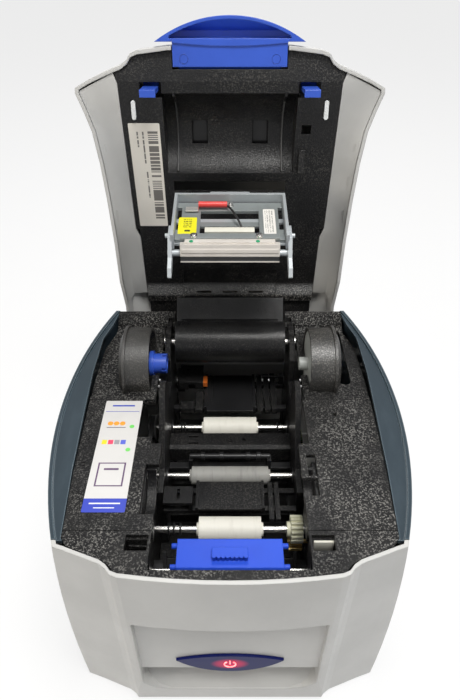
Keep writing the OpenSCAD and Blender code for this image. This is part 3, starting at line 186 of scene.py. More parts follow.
class Graph:
    """Node tree of one material or of the surroundings, with the few patterns that a finish is made of."""

    octave_share = 0.55
    grain_smoothness = 0.35
    edge_band = (0.01, 0.22)
    bevel_samples = 4

    def __init__(self, owner: Union[bpy.types.Material, bpy.types.World]) -> None:
        """Empties the owner's tree.

        Args:
            owner: Material or world whose nodes are built.
        """
        owner.use_nodes = True
        self.tree = owner.node_tree
        self.tree.nodes.clear()
        self._place: Optional[Wire] = None

    @property
    def place(self) -> Wire:
        """The object coordinates, from one node for the whole tree.

        Returns:
            The wire that carries them.
        """
        if self._place is None:
            self._place = self.add("TexCoord", output="Object")
        return self._place

    def add(
        self,
        kind: str,
        settings: Optional[Mapping[str, Any]] = None,
        sockets: Optional[Mapping[Union[str, int], Any]] = None,
        output: Union[str, int] = 0,
    ) -> Wire:
        """Makes any node.

        Args:
            kind: Node type without its ShaderNode prefix.
            settings: The node's own properties, set before its sockets.
            sockets: Values or wires of its input sockets, by name or number.
            output: Name or number of the output that is wanted.

        Returns:
            A wire from that output, or an empty one where the node ends the tree.
        """
        node = self.tree.nodes.new("ShaderNode" + kind)
        for name, value in (settings or {}).items():
            setattr(node, name, value)
        for name, value in (sockets or {}).items():
            target = node.inputs[name]
            if isinstance(value, Wire):
                self.tree.links.new(value.socket, target)
            elif isinstance(value, tuple) and target.type == "RGBA":
                target.default_value = (*value, 1.0)
            else:
                target.default_value = value
        return Wire(self, node.outputs[output] if node.outputs else None)

    def axes(self) -> tuple[Wire, Wire, Wire]:
        """The object's x, y and z in millimetres."""
        scaled = self.add("VectorMath", {"operation": "SCALE"}, {0: self.place, "Scale": 1.0 / MM})
        return tuple(self.add("SeparateXYZ", None, {0: scaled}, axis) for axis in "XYZ")

    def sheet(self) -> tuple[Wire, Wire]:
        """The piece's own u and v, from 0 to 1."""
        spread = self.add("TexCoord", output="UV")
        return tuple(self.add("SeparateXYZ", None, {0: spread}, axis) for axis in "XY")

    def noise(self, size: float, detail: float, stretch: Optional[Point] = None) -> Wire:
        """Soft noise.

        Args:
            size: Size of its spots in millimetres.
            detail: How much finer noise lies over it.
            stretch: Factors along x, y and z; a small one draws the spots out.

        Returns:
            Noise from about 0.2 to 0.8.
        """
        place = self.place
        if stretch:
            place = self.add("VectorMath", {"operation": "MULTIPLY"}, {0: place, 1: stretch})
        sockets = {"Vector": place, "Scale": 1.0 / (size * MM), "Detail": detail}
        return self.add("TexNoise", None, {**sockets, "Roughness": self.octave_share})

    def pebbles(self, size: float) -> Wire:
        """Rounded grains, as a spark-worn mould leaves them.

        Args:
            size: Size of the grains in millimetres.

        Returns:
            Height of the grains.
        """
        sockets = {"Vector": self.place, "Scale": 1.0 / (size * MM), "Smoothness": self.grain_smoothness}
        return self.add("TexVoronoi", {"feature": "SMOOTH_F1"}, sockets, "Distance")

    def mix(self, mask: Value, low: Union[Colour, Wire], high: Union[Colour, Wire]) -> Wire:
        """Blend of two colours.

        Args:
            mask: 0 for the low colour, 1 for the high one.
            low: Colour or wire.
            high: Colour or wire.

        Returns:
            The blended colour.
        """
        return self.add("Mix", {"data_type": "RGBA"}, {0: mask, 6: low, 7: high}, 2)

    def rounded(self, radius: float) -> Wire:
        """Normals that look rounded at every edge, with a radius in millimetres."""
        return self.add("Bevel", {"samples": self.bevel_samples}, {"Radius": radius * MM})

    def edges(self, soft: Wire) -> Wire:
        """Mask of the edges.

        Args:
            soft: Rounded normals.

        Returns:
            1 along edges, 0 on open faces.
        """
        flat = self.add("NewGeometry", output="Normal")
        same = self.add("VectorMath", {"operation": "DOT_PRODUCT"}, {0: soft, 1: flat}, "Value")
        return (1.0 - same).fade(*self.edge_band)

    def bump(self, height: Wire, depth: float, soft: Optional[Wire] = None, strength: float = 1.0) -> Wire:
        """Relief.

        Args:
            height: Height from 0 to 1.
            depth: Depth of the relief in millimetres.
            soft: Normals under it.
            strength: Share of the relief that shows.

        Returns:
            The new normals.
        """
        sockets = {"Height": height, "Distance": depth * MM, "Strength": strength}
        if soft is not None:
            sockets["Normal"] = soft
        return self.add("Bump", None, sockets)

    def window(self, u: Wire, v: Wire, spans: Spans) -> Wire:
        """Mask of a rectangle.

        Args:
            u: Coordinate across.
            v: Coordinate up.
            spans: Lowest u, highest u, lowest v and highest v.

        Returns:
            1 inside, 0 outside.
        """
        return u.between(*spans[:2]) * v.between(*spans[2:])

    def border(self, u: Wire, v: Wire, spans: Spans, line: tuple[float, float]) -> Wire:
        """Mask of an empty frame.

        Args:
            u: Coordinate across.
            v: Coordinate up.
            spans: Outer rectangle, as in window.
            line: Widths of its upright and level lines.

        Returns:
            1 on the frame, 0 elsewhere.
        """
        inner = (spans[0] + line[0], spans[1] - line[0], spans[2] + line[1], spans[3] - line[1])
        return self.window(u, v, spans) - self.window(u, v, inner)

    def pale_rays(self) -> Wire:
        """1 for the rays that see the pale backdrop: straight, through glass and off a shiny surface."""
        kinds = ("Is Camera Ray", "Is Transmission Ray", "Is Glossy Ray")
        return reduce(Wire.either, [self.add("LightPath", output=kind) for kind in kinds])

    def surface(self, shade: Wire, rough: Value, normal: Optional[Wire] = None,
                more: Optional[Mapping[str, Any]] = None) -> None:
        """Ends the tree in one Principled shader.

        Args:
            shade: Its colour.
            rough: Its roughness.
            normal: Its normals, where they are not the plain ones.
            more: Values or wires of its other sockets, by name.
        """
        sockets = {"Base Color": shade, "Roughness": rough, **(more or {})}
        if normal:
            sockets["Normal"] = normal
        self.add("OutputMaterial", None, {"Surface": self.add("BsdfPrincipled", None, sockets)})


# ---- Finishes ----


@dataclass(frozen=True)
class Finish:
    """A surface finish that becomes one material."""

    name: str

    def paint(self, graph: Graph) -> None:
        """Builds the nodes in the empty tree of the material."""
        raise NotImplementedError

    def material(self) -> bpy.types.Material:
        """Makes the material the first time it is asked for.

        Returns:
            The one material of this finish.
        """
        made = bpy.data.materials.get("finish_" + self.name)
        if made is None:
            made = bpy.data.materials.new("finish_" + self.name)
            self.paint(Graph(made))
        return made


@dataclass(frozen=True)
class Grained(Finish):
    """Black moulding with a spark-worn grain that catches the light, painted pale glints over that grain,
    rubbed at its edges.

    Sizes are in millimetres. A moulding may have raised tracks, and a cove between two heights, where its
    normals bend and a painted highlight lies over the painted glints.
    """

    colour: Colour = (0.006, 0.006, 0.0068)
    # pale: colour of the painted glints, pale specks that stand for light caught by the grain
    pale: Colour = (0.075, 0.072, 0.067)
    roughness: float = 0.33
    grain: float = 1.05
    depth: float = 0.3
    edge: float = 0.45
    gloss: float = 0.22
    worn: Colour = (0.15, 0.15, 0.148)
    cloud: float = 26.0
    patch: float = 38.0
    rub: float = 5.0
    tracks: bool = False
    track_frame: Spans = (63.0, 83.0, -76.0, -34.0)
    track_line: float = 0.6
    rungs: Spans = (66.0, 79.5, -70.0, -40.0)
    rungs_per_mm: float = 0.36
    rung_share: float = 0.18
    cove: Optional[tuple[float, float]] = None
    cove_depth: float = 16.0
    # Colour of the painted highlight in the cove
    cove_highlight: Colour = (0.34, 0.325, 0.3)

    def relief(self, graph: Graph) -> Wire:
        """Relief of the grain, with faint raised tracks where the moulding has them.

        Args:
            graph: Tree that the nodes go in.

        Returns:
            The height.
        """
        share = 0.55
        height = graph.pebbles(self.grain) * share + graph.noise(self.grain * 0.4, 3.0) * share
        if self.tracks:
            x, y, _ = graph.axes()
            outline = graph.border(x, y, self.track_frame, (self.track_line, self.track_line))
            rungs = (x * self.rungs_per_mm).part().above(1.0 - self.rung_share)
            rungs = rungs * graph.window(x, y, self.rungs)
            height = height + outline.either(rungs) * share
        return height

    def paint(self, graph: Graph) -> None:
        """Builds the nodes.

        Args:
            graph: Empty tree of the material.
        """
        soft = graph.rounded(self.edge)
        height = self.relief(graph)
        cloud = graph.noise(self.cloud, 4.0).fade(0.3, 0.75)
        patch = graph.noise(self.patch, 3.0).fade(0.34, 0.62) * 0.85 + 0.15
        fine = graph.noise(self.grain * 0.6, 1.0).fade(0.4, 0.65) * 0.6 + 0.4
        # Painted glints: pale specks in the base colour where the grain would catch the light
        glint_specks = graph.noise(self.grain, 1.5).fade(0.51, 0.62) * patch * fine
        rubbed = graph.edges(soft) * graph.noise(self.rub, 3.0).fade(0.35, 0.7)
        shade = graph.mix(cloud * 0.05 + glint_specks * 0.9, self.colour, self.pale)
        shade = graph.mix(rubbed * 0.35, shade, self.worn)
        rough = self.roughness + cloud * 0.1 - glint_specks * 0.14
        # Painted highlight along the cove, where the bent normals would catch the top light
        if self.cove:
            rise = 1.0 - graph.axes()[2].fade(*self.cove)
            shade = graph.mix(rise * glint_specks, shade, self.cove_highlight)
            soft = graph.bump(rise, self.cove_depth, soft)
        normal = graph.bump(height, self.depth, soft, 0.85)
        graph.surface(shade, rough, normal, {"Specular IOR Level": self.gloss})


@dataclass(frozen=True)
class Moulded(Finish):
    """Plain moulded plastic: a faint orange peel, soft flow clouds and softened edges."""

    colour: Colour
    second: Colour
    roughness: float = 0.35
    peel: float = 2.2
    depth: float = 0.02
    edge: float = 0.7
    gloss: float = 0.5
    worn: Colour = (0.9, 0.9, 0.88)
    wear: float = 0.12
    cloud: float = 48.0
    rub: float = 4.0

    def paint(self, graph: Graph) -> None:
        """Builds the nodes.

        Args:
            graph: Empty tree of the material.
        """
        soft = graph.rounded(self.edge) if self.edge else None
        peel = graph.noise(self.peel, 3.0)
        flow = graph.noise(self.cloud, 5.0, (1.0, 0.45, 1.0)).fade(0.3, 0.72)
        shade = graph.mix(flow, self.colour, self.second)
        if soft:
            rubbed = graph.edges(soft) * graph.noise(self.rub, 3.0).fade(0.4, 0.75)
            shade = graph.mix(rubbed * self.wear, shade, self.worn)
        rough = self.roughness + (peel - 0.5) * 0.16 + flow * 0.04
        normal = graph.bump(peel, self.depth, soft, 0.6)
        graph.surface(shade, rough, normal, {"Specular IOR Level": self.gloss})


@dataclass(frozen=True)
class Smoked(Finish):
    """Polished smoke-grey panel, paler towards the top, with a painted sheen along its edges where its wall
    is seen edge on, and faint wipe marks.
    """

    colour: Colour = (0.013, 0.021, 0.03)
    pale: Colour = (0.07, 0.1, 0.122)
    # rim: colour of the painted sheen along the edges
    rim: Colour = (0.13, 0.175, 0.205)
    edge: float = 0.6
    rim_sheen_width: float = 1.6
    foot: float = 20.0
    top: float = 176.0
    wipe: float = 11.0
    wave: float = 9.0

    def paint(self, graph: Graph) -> None:
        """Builds the nodes.

        Args:
            graph: Empty tree of the material.
        """
        soft = graph.rounded(self.edge)
        rim = graph.edges(graph.rounded(self.rim_sheen_width))
        height = graph.axes()[2].fade(self.foot, self.top)
        wiped = graph.noise(self.wipe, 5.0, (1.0, 0.3, 1.7)).fade(0.42, 0.8)
        shade = graph.mix(height * 0.3 + wiped * 0.12, self.colour, self.pale)
        # Painted sheen along the edges
        shade = graph.mix(rim * 0.7, shade, self.rim)
        normal = graph.bump(graph.noise(self.wave, 2.0), 0.03, soft, 0.4)
        coat = {"Coat Weight": 0.06, "Coat Roughness": 0.05, "Specular IOR Level": 0.26}
        graph.surface(shade, 0.1 + wiped * 0.14, normal, coat)


class Grinding(Enum):
    """Ways in which a metal surface was finished, as stretches of its lines along x, y and z."""

    ALONG_X = (0.015, 1.0, 1.0)
    ACROSS_X = (1.0, 0.04, 0.04)
    ROLLED = (0.3, 0.3, 1.0)


@dataclass(frozen=True)
class Metal(Finish):
    """Bare or plated metal with grinding lines, light stains and painted highlights along its edges."""

    colour: Colour
    stain: Colour
    roughness: float = 0.28
    metallic: float = 1.0
    grinding: Grinding = Grinding.ALONG_X
    line: float = 0.35
    edge: float = 0.25
    edge_highlight: float = 0.4
    # bright: colour of the painted highlights along the edges
    bright: Colour = (0.9, 0.9, 0.9)
    spot: float = 14.0
    glaze: Optional[tuple[float, float]] = None
    glaze_colour: Colour = (0.02, 0.021, 0.023)

    def paint(self, graph: Graph) -> None:
        """Builds the nodes.

        Args:
            graph: Empty tree of the material.
        """
        soft = graph.rounded(self.edge)
        lines = graph.noise(self.line, 3.0, self.grinding.value)
        stains = graph.noise(self.spot, 5.0).fade(0.45, 0.75)
        shade = graph.mix(stains * 0.5 + lines * 0.2, self.colour, self.stain)
        # Painted highlights along the edges
        shade = graph.mix(graph.edges(soft) * self.edge_highlight, shade, self.bright)
        rough = self.roughness + (lines - 0.5) * 0.25 + stains * 0.1
        if self.glaze:
            glass = graph.axes()[2].between(*self.glaze)
            shade = graph.mix(glass, shade, self.glaze_colour)
            rough = rough - glass * 0.22
        graph.surface(shade, rough, graph.bump(lines, 0.02, soft, 0.5), {"Metallic": self.metallic})


@dataclass(frozen=True)
class Rubber(Finish):
    """Soft roller rubber: matt, dusty, with a faint tread of feed lines around it."""

    colour: Colour
    dirt: Colour
    pitch: float = 1.6
    groove: float = 0.03
    roughness: float = 0.68
    banding: float = 0.12
    edge: float = 0.4
    nap: float = 0.5
    track: float = 3.5

    def paint(self, graph: Graph) -> None:
        """Builds the nodes.

        Args:
            graph: Empty tree of the material.
        """
        x, _, _ = graph.axes()
        tread = (x * (2.0 * math.pi / self.pitch)).wave() * 0.5 + 0.5
        nap = graph.noise(self.nap, 3.0)
        tracks = graph.noise(self.track, 4.0, (1.0, 0.25, 0.25)).fade(0.5, 0.75)
        shade = graph.mix(tracks * 0.3 + (1.0 - tread) * self.banding + nap * 0.05, self.colour, self.dirt)
        rough = self.roughness + (nap - 0.5) * 0.2
        normal = graph.bump(tread + nap * 0.5, self.groove, graph.rounded(self.edge), 0.8)
        graph.surface(shade, rough, normal, {"Specular IOR Level": 0.35})


@dataclass(frozen=True)
class Sleeved(Finish):
    """Red insulating sleeve that ends in a tinned tab."""

    split: float = -22.15
    reds: tuple[Colour, Colour] = ((0.66, 0.03, 0.028), (0.78, 0.09, 0.08))
    tins: tuple[Colour, Colour] = ((0.74, 0.73, 0.7), (0.5, 0.48, 0.44))
    line: float = 0.4
    cloud: float = 3.0
    edge: float = 0.4

    def paint(self, graph: Graph) -> None:
        """Builds the nodes.

        Args:
            graph: Empty tree of the material.
        """
        tin = graph.axes()[0].below(self.split)
        lines = graph.noise(self.line, 3.0, (1.0, 0.2, 1.0))
        red = graph.mix(graph.noise(self.cloud, 2.0), *self.reds)
        shade = graph.mix(tin, red, graph.mix(lines, *self.tins))
        normal = graph.bump(lines, 0.03, graph.rounded(self.edge), 0.5)
        graph.surface(shade, 0.3 + lines * 0.12, normal, {"Metallic": tin * 0.6})


@dataclass(frozen=True)
class Circuit(Finish):
    """Lacquered board with tracks, pads and dark chips standing on it."""

    lacquer: Colour = (0.006, 0.05, 0.02)
    track: Colour = (0.02, 0.13, 0.05)
    gold: Colour = (0.55, 0.4, 0.16)
    black: Colour = (0.012, 0.012, 0.013)
    chip_face: float = 61.8
    pads_per_mm: float = 0.4
    pad_half: float = 0.12
    edge: float = 0.2

    def paint(self, graph: Graph) -> None:
        """Builds the nodes.

        Args:
            graph: Empty tree of the material.
        """
        x, y, z = graph.axes()
        lanes = ((y + (z * 0.21).whole() * 3.0) * 0.55).part().above(0.72)
        stems = ((z + (y * 0.17).whole() * 2.0) * 0.5).part().above(0.8)
        across, up = (((each * self.pads_per_mm).part() - 0.5).size().below(self.pad_half) for each in (y, z))
        chip = x.above(self.chip_face)
        shade = graph.mix(lanes.either(stems) * 0.5, self.lacquer, self.track)
        shade = graph.mix(across * up, shade, self.gold)
        shade = graph.mix(chip, shade, self.black)
        graph.surface(shade, 0.3 + chip * 0.25, graph.rounded(self.edge))


@dataclass(frozen=True)
class Clear(Finish):
    """Clear acrylic light pipe with a frosted skin."""

    skins: tuple[Colour, Colour] = ((0.82, 0.85, 0.86), (0.95, 0.96, 0.96))
    frost: float = 0.8
    edge: float = 0.4

    def paint(self, graph: Graph) -> None:
        """Builds the nodes.

        Args:
            graph: Empty tree of the material.
        """
        frost = graph.noise(self.frost, 3.0)
        normal = graph.bump(frost, 0.02, graph.rounded(self.edge), 0.5)
        graph.surface(graph.mix(frost, *self.skins), 0.18 + frost * 0.2, normal, {"Alpha": 0.75, "IOR": 1.49})


@dataclass(frozen=True)
class Lens(Finish):
    """Dark blue push lens, lit red from behind at its middle."""

    middle: tuple[float, float] = (0.0, 63.0)
    flatness: float = 0.35
    blues: tuple[Colour, Colour] = ((0.006, 0.01, 0.085), (0.01, 0.016, 0.12))
    light: Colour = (0.85, 0.01, 0.03)
    reach: tuple[float, float] = (2.0, 62.0)
    cloud: float = 9.0
    wave: float = 1.8
    edge: float = 0.5

    def paint(self, graph: Graph) -> None:
        """Builds the nodes.

        Args:
            graph: Empty tree of the material.
        """
        x, _, z = graph.axes()
        away = (x - self.middle[0]) ** 2.0 * self.flatness + (z - self.middle[1]) ** 2.0
        glow = graph.mix(1.0 - away.fade(*self.reach), (0.0, 0.0, 0.0), self.light)
        cloud = graph.noise(self.cloud, 3.0)
        normal = graph.bump(graph.noise(self.wave, 2.0), 0.015, graph.rounded(self.edge), 0.5)
        lit = {"Specular IOR Level": 0.12, "Emission Color": glow, "Emission Strength": 0.55}
        graph.surface(graph.mix(cloud, *self.blues), 0.3 + cloud * 0.08, normal, lit)


@dataclass(frozen=True)
class Glow(Finish):
    """Light that shows through a lens."""

    colour: Colour
    strength: float
    core: Colour = (1.0, 0.75, 0.7)
    cloud: float = 3.0

    def paint(self, graph: Graph) -> None:
        """Builds the nodes.

        Args:
            graph: Empty tree of the material.
        """
        spread = graph.noise(self.cloud, 1.0)
        shade = graph.mix(spread * 0.4, self.colour, self.core)
        lit = {"Emission Color": shade, "Emission Strength": self.strength}
        graph.surface(shade, 0.4 + spread * 0.1, None, lit)


class Layout(Enum):
    """What a printed label shows."""

    BARS = "bars"
    STEPS = "steps"
    BADGE = "badge"
    LINES = "lines"


class Page:
    """Ink masks over the u and v of one label."""

    narrowness = 0.27

    def __init__(self, graph: Graph) -> None:
        """Reads the label's own coordinates."""
        self.graph = graph
        self.u, self.v = graph.sheet()

    def boxes(self, *spans: Spans) -> Wire:
        """Mask of some rectangles, each with its lowest and highest u and v."""
        return reduce(Wire.either, [self.graph.window(self.u, self.v, each) for each in spans])

    def dots(self, radius: float, *middles: tuple[float, float]) -> Wire:
        """Mask of some round dots.

        Args:
            radius: Radius as a share of the label's height.
            middles: The u and v of each dot's middle.

        Returns:
            1 in the dots, 0 elsewhere.
        """
        across = self.u * self.narrowness
        return reduce(Wire.either, [
            ((across - u * self.narrowness) ** 2.0 + (self.v - v) ** 2.0).below(radius * radius)
            for u, v in middles
        ])

    def beat(self, rows: float, stride: float, limit: float) -> Wire:
        """Mask of some of the many rows, picked unevenly.

        Args:
            rows: Number of rows over the label.
            stride: Distance between the picks in the noise.
            limit: Level that a picked row is above.

        Returns:
            1 on the picked rows, 0 on the others.
        """
        place = (self.v * rows).whole() * stride
        return self.graph.add("TexNoise", {"noise_dimensions": "1D"}, {"W": place, "Scale": 1.0}).above(limit)


@dataclass(frozen=True)
class Printed(Finish):
    """Printed paper label with plain bars, dots and frames."""

    paper: Colour
    ink: Colour
    layout: Layout
    fibre: float = 1.4
    stain: float = 17.0

    def bars(self, page: Page, shade: Wire) -> Wire:
        """A ladder of uneven bars beside three dashed lines.

        Args:
            page: Ink masks of the label.
            shade: Colour of the bare paper.

        Returns:
            The printed colour.
        """
        ladder = page.boxes((0.6, 0.92, 0.07, 0.93)) * page.beat(110.0, 7.31, 0.49)
        rows = page.boxes((0.42, 0.47, 0.07, 0.36), (0.44, 0.49, 0.44, 0.7), (0.24, 0.29, 0.06, 0.21))
        mask = ladder.either(rows * page.beat(150.0, 3.17, 0.47))
        return page.graph.mix(mask * 0.85, shade, self.ink)

    def steps(self, page: Page, shade: Wire) -> Wire:
        """Rows of dots, a row of coloured blocks, an empty frame and a coloured foot.

        Args:
            page: Ink masks of the label.
            shade: Colour of the bare paper.

        Returns:
            The printed colour.
        """
        rules = page.boxes((0.05, 0.95, 0.884, 0.889), (0.2, 0.8, 0.94, 0.955))
        foot_rows = page.boxes((0.14, 0.86, 0.062, 0.072), (0.26, 0.74, 0.03, 0.037))
        inks = [
            (rules.either(page.v.below(0.105)), (0.022, 0.045, 0.42)),
            (foot_rows * 0.85, (0.85, 0.87, 0.92)),
            (page.dots(0.02, (0.24, 0.765), (0.4, 0.765), (0.56, 0.765)), (0.85, 0.33, 0.03)),
            (page.boxes((0.16, 0.66, 0.722, 0.729)), (0.12, 0.1, 0.14)),
            (page.dots(0.017, (0.82, 0.735), (0.82, 0.515)), (0.16, 0.62, 0.12)),
        ]
        blocks = ((0.8, 0.66, 0.02), (0.75, 0.05, 0.12), (0.3, 0.3, 0.33), (0.09, 0.12, 0.6))
        for number, colour in enumerate(blocks):
            start = 0.12 + 0.16 * number
            inks.append((page.boxes((start, start + 0.13, 0.565, 0.605)), colour))
        empty = page.graph.border(page.u, page.v, (0.16, 0.84, 0.2, 0.4), (0.04, 0.01))
        inks.append((empty.either(page.boxes((0.32, 0.68, 0.335, 0.352))), (0.1, 0.05, 0.12)))
        for mask, colour in inks:
            shade = page.graph.mix(mask, shade, colour)
        return shade

    def badge(self, page: Page, shade: Wire) -> Wire:
        """Short broken rows and one wide mark.

        Args:
            page: Ink masks of the label.
            shade: Colour of the bare paper.

        Returns:
            The printed colour.
        """
        rows = page.boxes((0.28, 0.72, 0.4, 0.88)) * (page.v * 9.0).part().above(0.5)
        broken = rows * page.graph.noise(0.7, 1.0).above(0.46)
        return page.graph.mix(broken.either(page.boxes((0.36, 0.66, 0.14, 0.24))), shade, self.ink)

    def lines(self, page: Page, shade: Wire) -> Wire:
        """A block of small broken rows.

        Args:
            page: Ink masks of the label.
            shade: Colour of the bare paper.

        Returns:
            The printed colour.
        """
        rows = page.boxes((0.14, 0.86, 0.06, 0.94)) * (page.u * 5.0).part().above(0.42)
        return page.graph.mix(rows * page.graph.noise(0.8, 1.0).above(0.48) * 0.8, shade, self.ink)

    def paint(self, graph: Graph) -> None:
        """Builds the nodes.

        Args:
            graph: Empty tree of the material.
        """
        draw = {
            Layout.BARS: self.bars, Layout.STEPS: self.steps,
            Layout.BADGE: self.badge, Layout.LINES: self.lines,
        }
        fibre = graph.noise(self.fibre, 4.0)
        aged = graph.noise(self.stain, 4.0).fade(0.4, 0.8)
        old_paper = tuple(0.72 * part for part in self.paper)
        shade = graph.mix(fibre * 0.12 + aged * 0.16, self.paper, old_paper)
        shade = draw[self.layout](Page(graph), shade)
        graph.surface(shade, 0.42 + fibre * 0.12, graph.bump(fibre, 0.01, None, 0.5))


DECK_BLACK = (0.0045, 0.0045, 0.005)
# Colour of the painted glints on the deck's grain
DECK_GLINT = (0.24, 0.233, 0.22)
INK = (0.05, 0.045, 0.045)


@dataclass(frozen=True)
class Finishes:
    """Every finish of the printer."""

    white_shell: Finish = Moulded(
        "white_shell", (0.53, 0.527, 0.515), (0.48, 0.478, 0.468), 0.36, 2.4, edge=1.0)
    cheek: Finish = Moulded("cheek", (0.52, 0.517, 0.503), (0.46, 0.458, 0.448), 0.4, 2.4, edge=0.0)
    smoke: Finish = Smoked("smoke")
    black: Finish = Grained("black")
    deck: Finish = Grained("deck", DECK_BLACK, DECK_GLINT, gloss=0.14)
    marked_deck: Finish = Grained("marked_deck", DECK_BLACK, DECK_GLINT, gloss=0.14, tracks=True)
    liner: Finish = Grained("liner", roughness=0.3, gloss=0.28, cove=(176.0, 192.0))
    drum: Finish = Grained("drum", (0.018, 0.0175, 0.0165), (0.2, 0.19, 0.175), 0.36, 1.0, 0.2, gloss=0.6)
    barrel: Finish = Grained("barrel", pale=(0.06, 0.059, 0.056), roughness=0.27, grain=0.9, depth=0.09)
    smooth_black: Finish = Moulded(
        "smooth_black", (0.011, 0.011, 0.012), (0.022, 0.022, 0.023), 0.3, 3.0, edge=0.5, gloss=0.3,
        worn=(0.2, 0.2, 0.2), wear=0.35)
    deep_blue: Finish = Moulded(
        "deep_blue", (0.016, 0.06, 0.48), (0.022, 0.078, 0.57), 0.36, 1.6, edge=0.8, gloss=0.16,
        worn=(0.16, 0.26, 0.8), wear=0.5)
    blue: Finish = Moulded(
        "blue", (0.03, 0.085, 0.47), (0.038, 0.105, 0.56), 0.3, 1.6, edge=0.8, gloss=0.45,
        worn=(0.2, 0.3, 0.85), wear=0.4)
    tyre: Finish = Rubber("tyre", (0.82, 0.8, 0.72), (0.62, 0.59, 0.51), 2.4, 0.002, 0.5, 0.02)
    sleeve: Finish = Rubber("sleeve", (0.42, 0.415, 0.39), (0.16, 0.158, 0.15), 0.8, 0.09, 0.55, 0.45)
    belt: Finish = Rubber("belt", (0.018, 0.018, 0.019), (0.05, 0.05, 0.05), 1.4, 0.05, 0.75)
    foot: Finish = Rubber("foot", (0.03, 0.03, 0.031), (0.09, 0.09, 0.085), 3.0, 0.02, 0.85)
    steel: Finish = Metal("steel", (0.68, 0.67, 0.65), (0.42, 0.39, 0.35), 0.24, line=0.3)
    carrier: Finish = Metal("carrier", (0.44, 0.47, 0.49), (0.36, 0.385, 0.4), 0.4, 0.3, Grinding.ROLLED, 1.6)
    plate: Finish = Metal("plate", (0.27, 0.295, 0.295), (0.2, 0.22, 0.22), 0.36, 0.3, Grinding.ROLLED, 2.2)
    heater: Finish = Metal(
        "heater", (0.66, 0.62, 0.575), (0.52, 0.48, 0.44), 0.4, 0.2, line=0.12, edge_highlight=0.08,
        glaze=(258.0, 261.15))
    nylon: Finish = Moulded("nylon", (0.78, 0.765, 0.68), (0.7, 0.685, 0.6), 0.45, 1.2, edge=0.35)
    gear: Finish = Moulded("gear", (0.86, 0.85, 0.66), (0.78, 0.77, 0.58), 0.42, 0.9, 0.03, 0.35)
    crimp: Finish = Sleeved("crimp")
    grey: Finish = Moulded("grey", (0.1, 0.1, 0.1), (0.14, 0.14, 0.138), 0.42, 1.4, 0.03, 0.3)
    case_metal: Finish = Metal(
        "case_metal", (0.35, 0.35, 0.35), (0.24, 0.23, 0.22), 0.32, 0.9, Grinding.ACROSS_X)
    brass: Finish = Metal("brass", (0.66, 0.5, 0.22), (0.45, 0.32, 0.13), 0.3)
    board: Finish = Circuit("board")
    orange: Finish = Moulded("orange", (0.75, 0.2, 0.03), (0.62, 0.13, 0.02), 0.35, 0.9, edge=0.2)
    clear: Finish = Clear("clear")
    lens: Finish = Lens("lens")
    disc: Finish = Moulded("disc", (0.4, 0.42, 0.405), (0.34, 0.36, 0.35), 0.4, 1.6, edge=0.5)
    glow: Finish = Glow("glow", (1.0, 0.06, 0.08), 2.2)
    mark_green: Finish = Moulded("mark_green", (0.0, 0.33, 0.14), (0.0, 0.25, 0.1), 0.35, 0.8, 0.05, 0.2)
    lid_print: Finish = Printed("lid_print", (0.8, 0.765, 0.7), INK, Layout.BARS)
    guide_print: Finish = Printed("guide_print", (0.63, 0.62, 0.61), INK, Layout.STEPS)
    badge_print: Finish = Printed("badge_print", (0.83, 0.78, 0.02), (0.05, 0.045, 0.02), Layout.BADGE)
    line_print: Finish = Printed("line_print", (0.8, 0.78, 0.74), (0.2, 0.19, 0.18), Layout.LINES)


FINISHES = Finishes()

SLOT_FINISH: dict[str, Finish] = {
    "white_abs": FINISHES.white_shell,
    "smoke_panel": FINISHES.smoke,
    "black_moulding": FINISHES.black,
    "black_smooth": FINISHES.smooth_black,
    "latch_blue": FINISHES.blue,
    "cream_gear": FINISHES.gear,
    "white_tyre": FINISHES.tyre,
    "grey_sleeve": FINISHES.sleeve,
    "steel": FINISHES.steel,
    "belt_rubber": FINISHES.belt,
    "foot_rubber": FINISHES.foot,
    "carrier_grey": FINISHES.carrier,
    "plate_grey": FINISHES.plate,
    "heat_metal": FINISHES.heater,
    "white_nylon": FINISHES.nylon,
    "crimp_red": FINISHES.crimp,
    "pulley_grey": FINISHES.grey,
    "motor_case": FINISHES.case_metal,
    "brass": FINISHES.brass,
    "board_green": FINISHES.board,
    "sensor_orange": FINISHES.orange,
    "clear_pipe": FINISHES.clear,
    "button_blue": FINISHES.lens,
    "cleaning_rubber": FINISHES.sleeve,
}

NODE_FINISH: dict[str, Finish] = {
    "left_deck": FINISHES.deck,
    "right_deck": FINISHES.marked_deck,
    "front_deck": FINISHES.deck,
    "rear_deck": FINISHES.deck,
    "hinge_barrel": FINISHES.barrel,
    "lid_liner": FINISHES.liner,
    "left_drum": FINISHES.drum,
    "right_drum": FINISHES.drum,
    "lid_cheeks": FINISHES.cheek,
    "right_spool_disc": FINISHES.disc,
    "cleaning_cartridge": FINISHES.deep_blue,
}


# ---- Shapes ----

LABEL_CORNER = 0.8
PIECE_CREASE_DEG = 35.0
PIECE_FILLET = 0.3
MERGE = 1e-4
FULL_TURN_DEG = 360.0


class Face(Enum):
    """Sides that a label can show."""

    UP = "up"
    DOWN = "down"
    FRONT = "front"


def linked(name: str, data: bpy.types.ID) -> bpy.types.Object:
    """Puts new data in the scene.

    Args:
        name: Name of the object.
        data: Its mesh, curve, lamp or camera.

    Returns:
        The object.
    """
    made = bpy.data.objects.new(name, data)
    bpy.context.scene.collection.objects.link(made)
    return made


def settled(bm: bmesh.types.BMesh, name: str) -> bpy.types.Mesh:
    """Turns a bmesh, which is used up, into a mesh.

    Args:
        bm: The bmesh.
        name: Name of the mesh.

    Returns:
        The mesh.
    """
    mesh = bpy.data.meshes.new(name)
    bm.to_mesh(mesh)
    bm.free()
    return mesh


def smooth_shaded(bm: bmesh.types.BMesh, crease_deg: float) -> None:
    """Shades every face smoothly and keeps the strong edges sharp.

    Args:
        bm: The bmesh.
        crease_deg: Angle between faces from which an edge stays sharp.
    """
    for face in bm.faces:
        face.smooth = True
    for edge in bm.edges:
        edge.smooth = edge.calc_face_angle(math.pi) < math.radians(crease_deg)


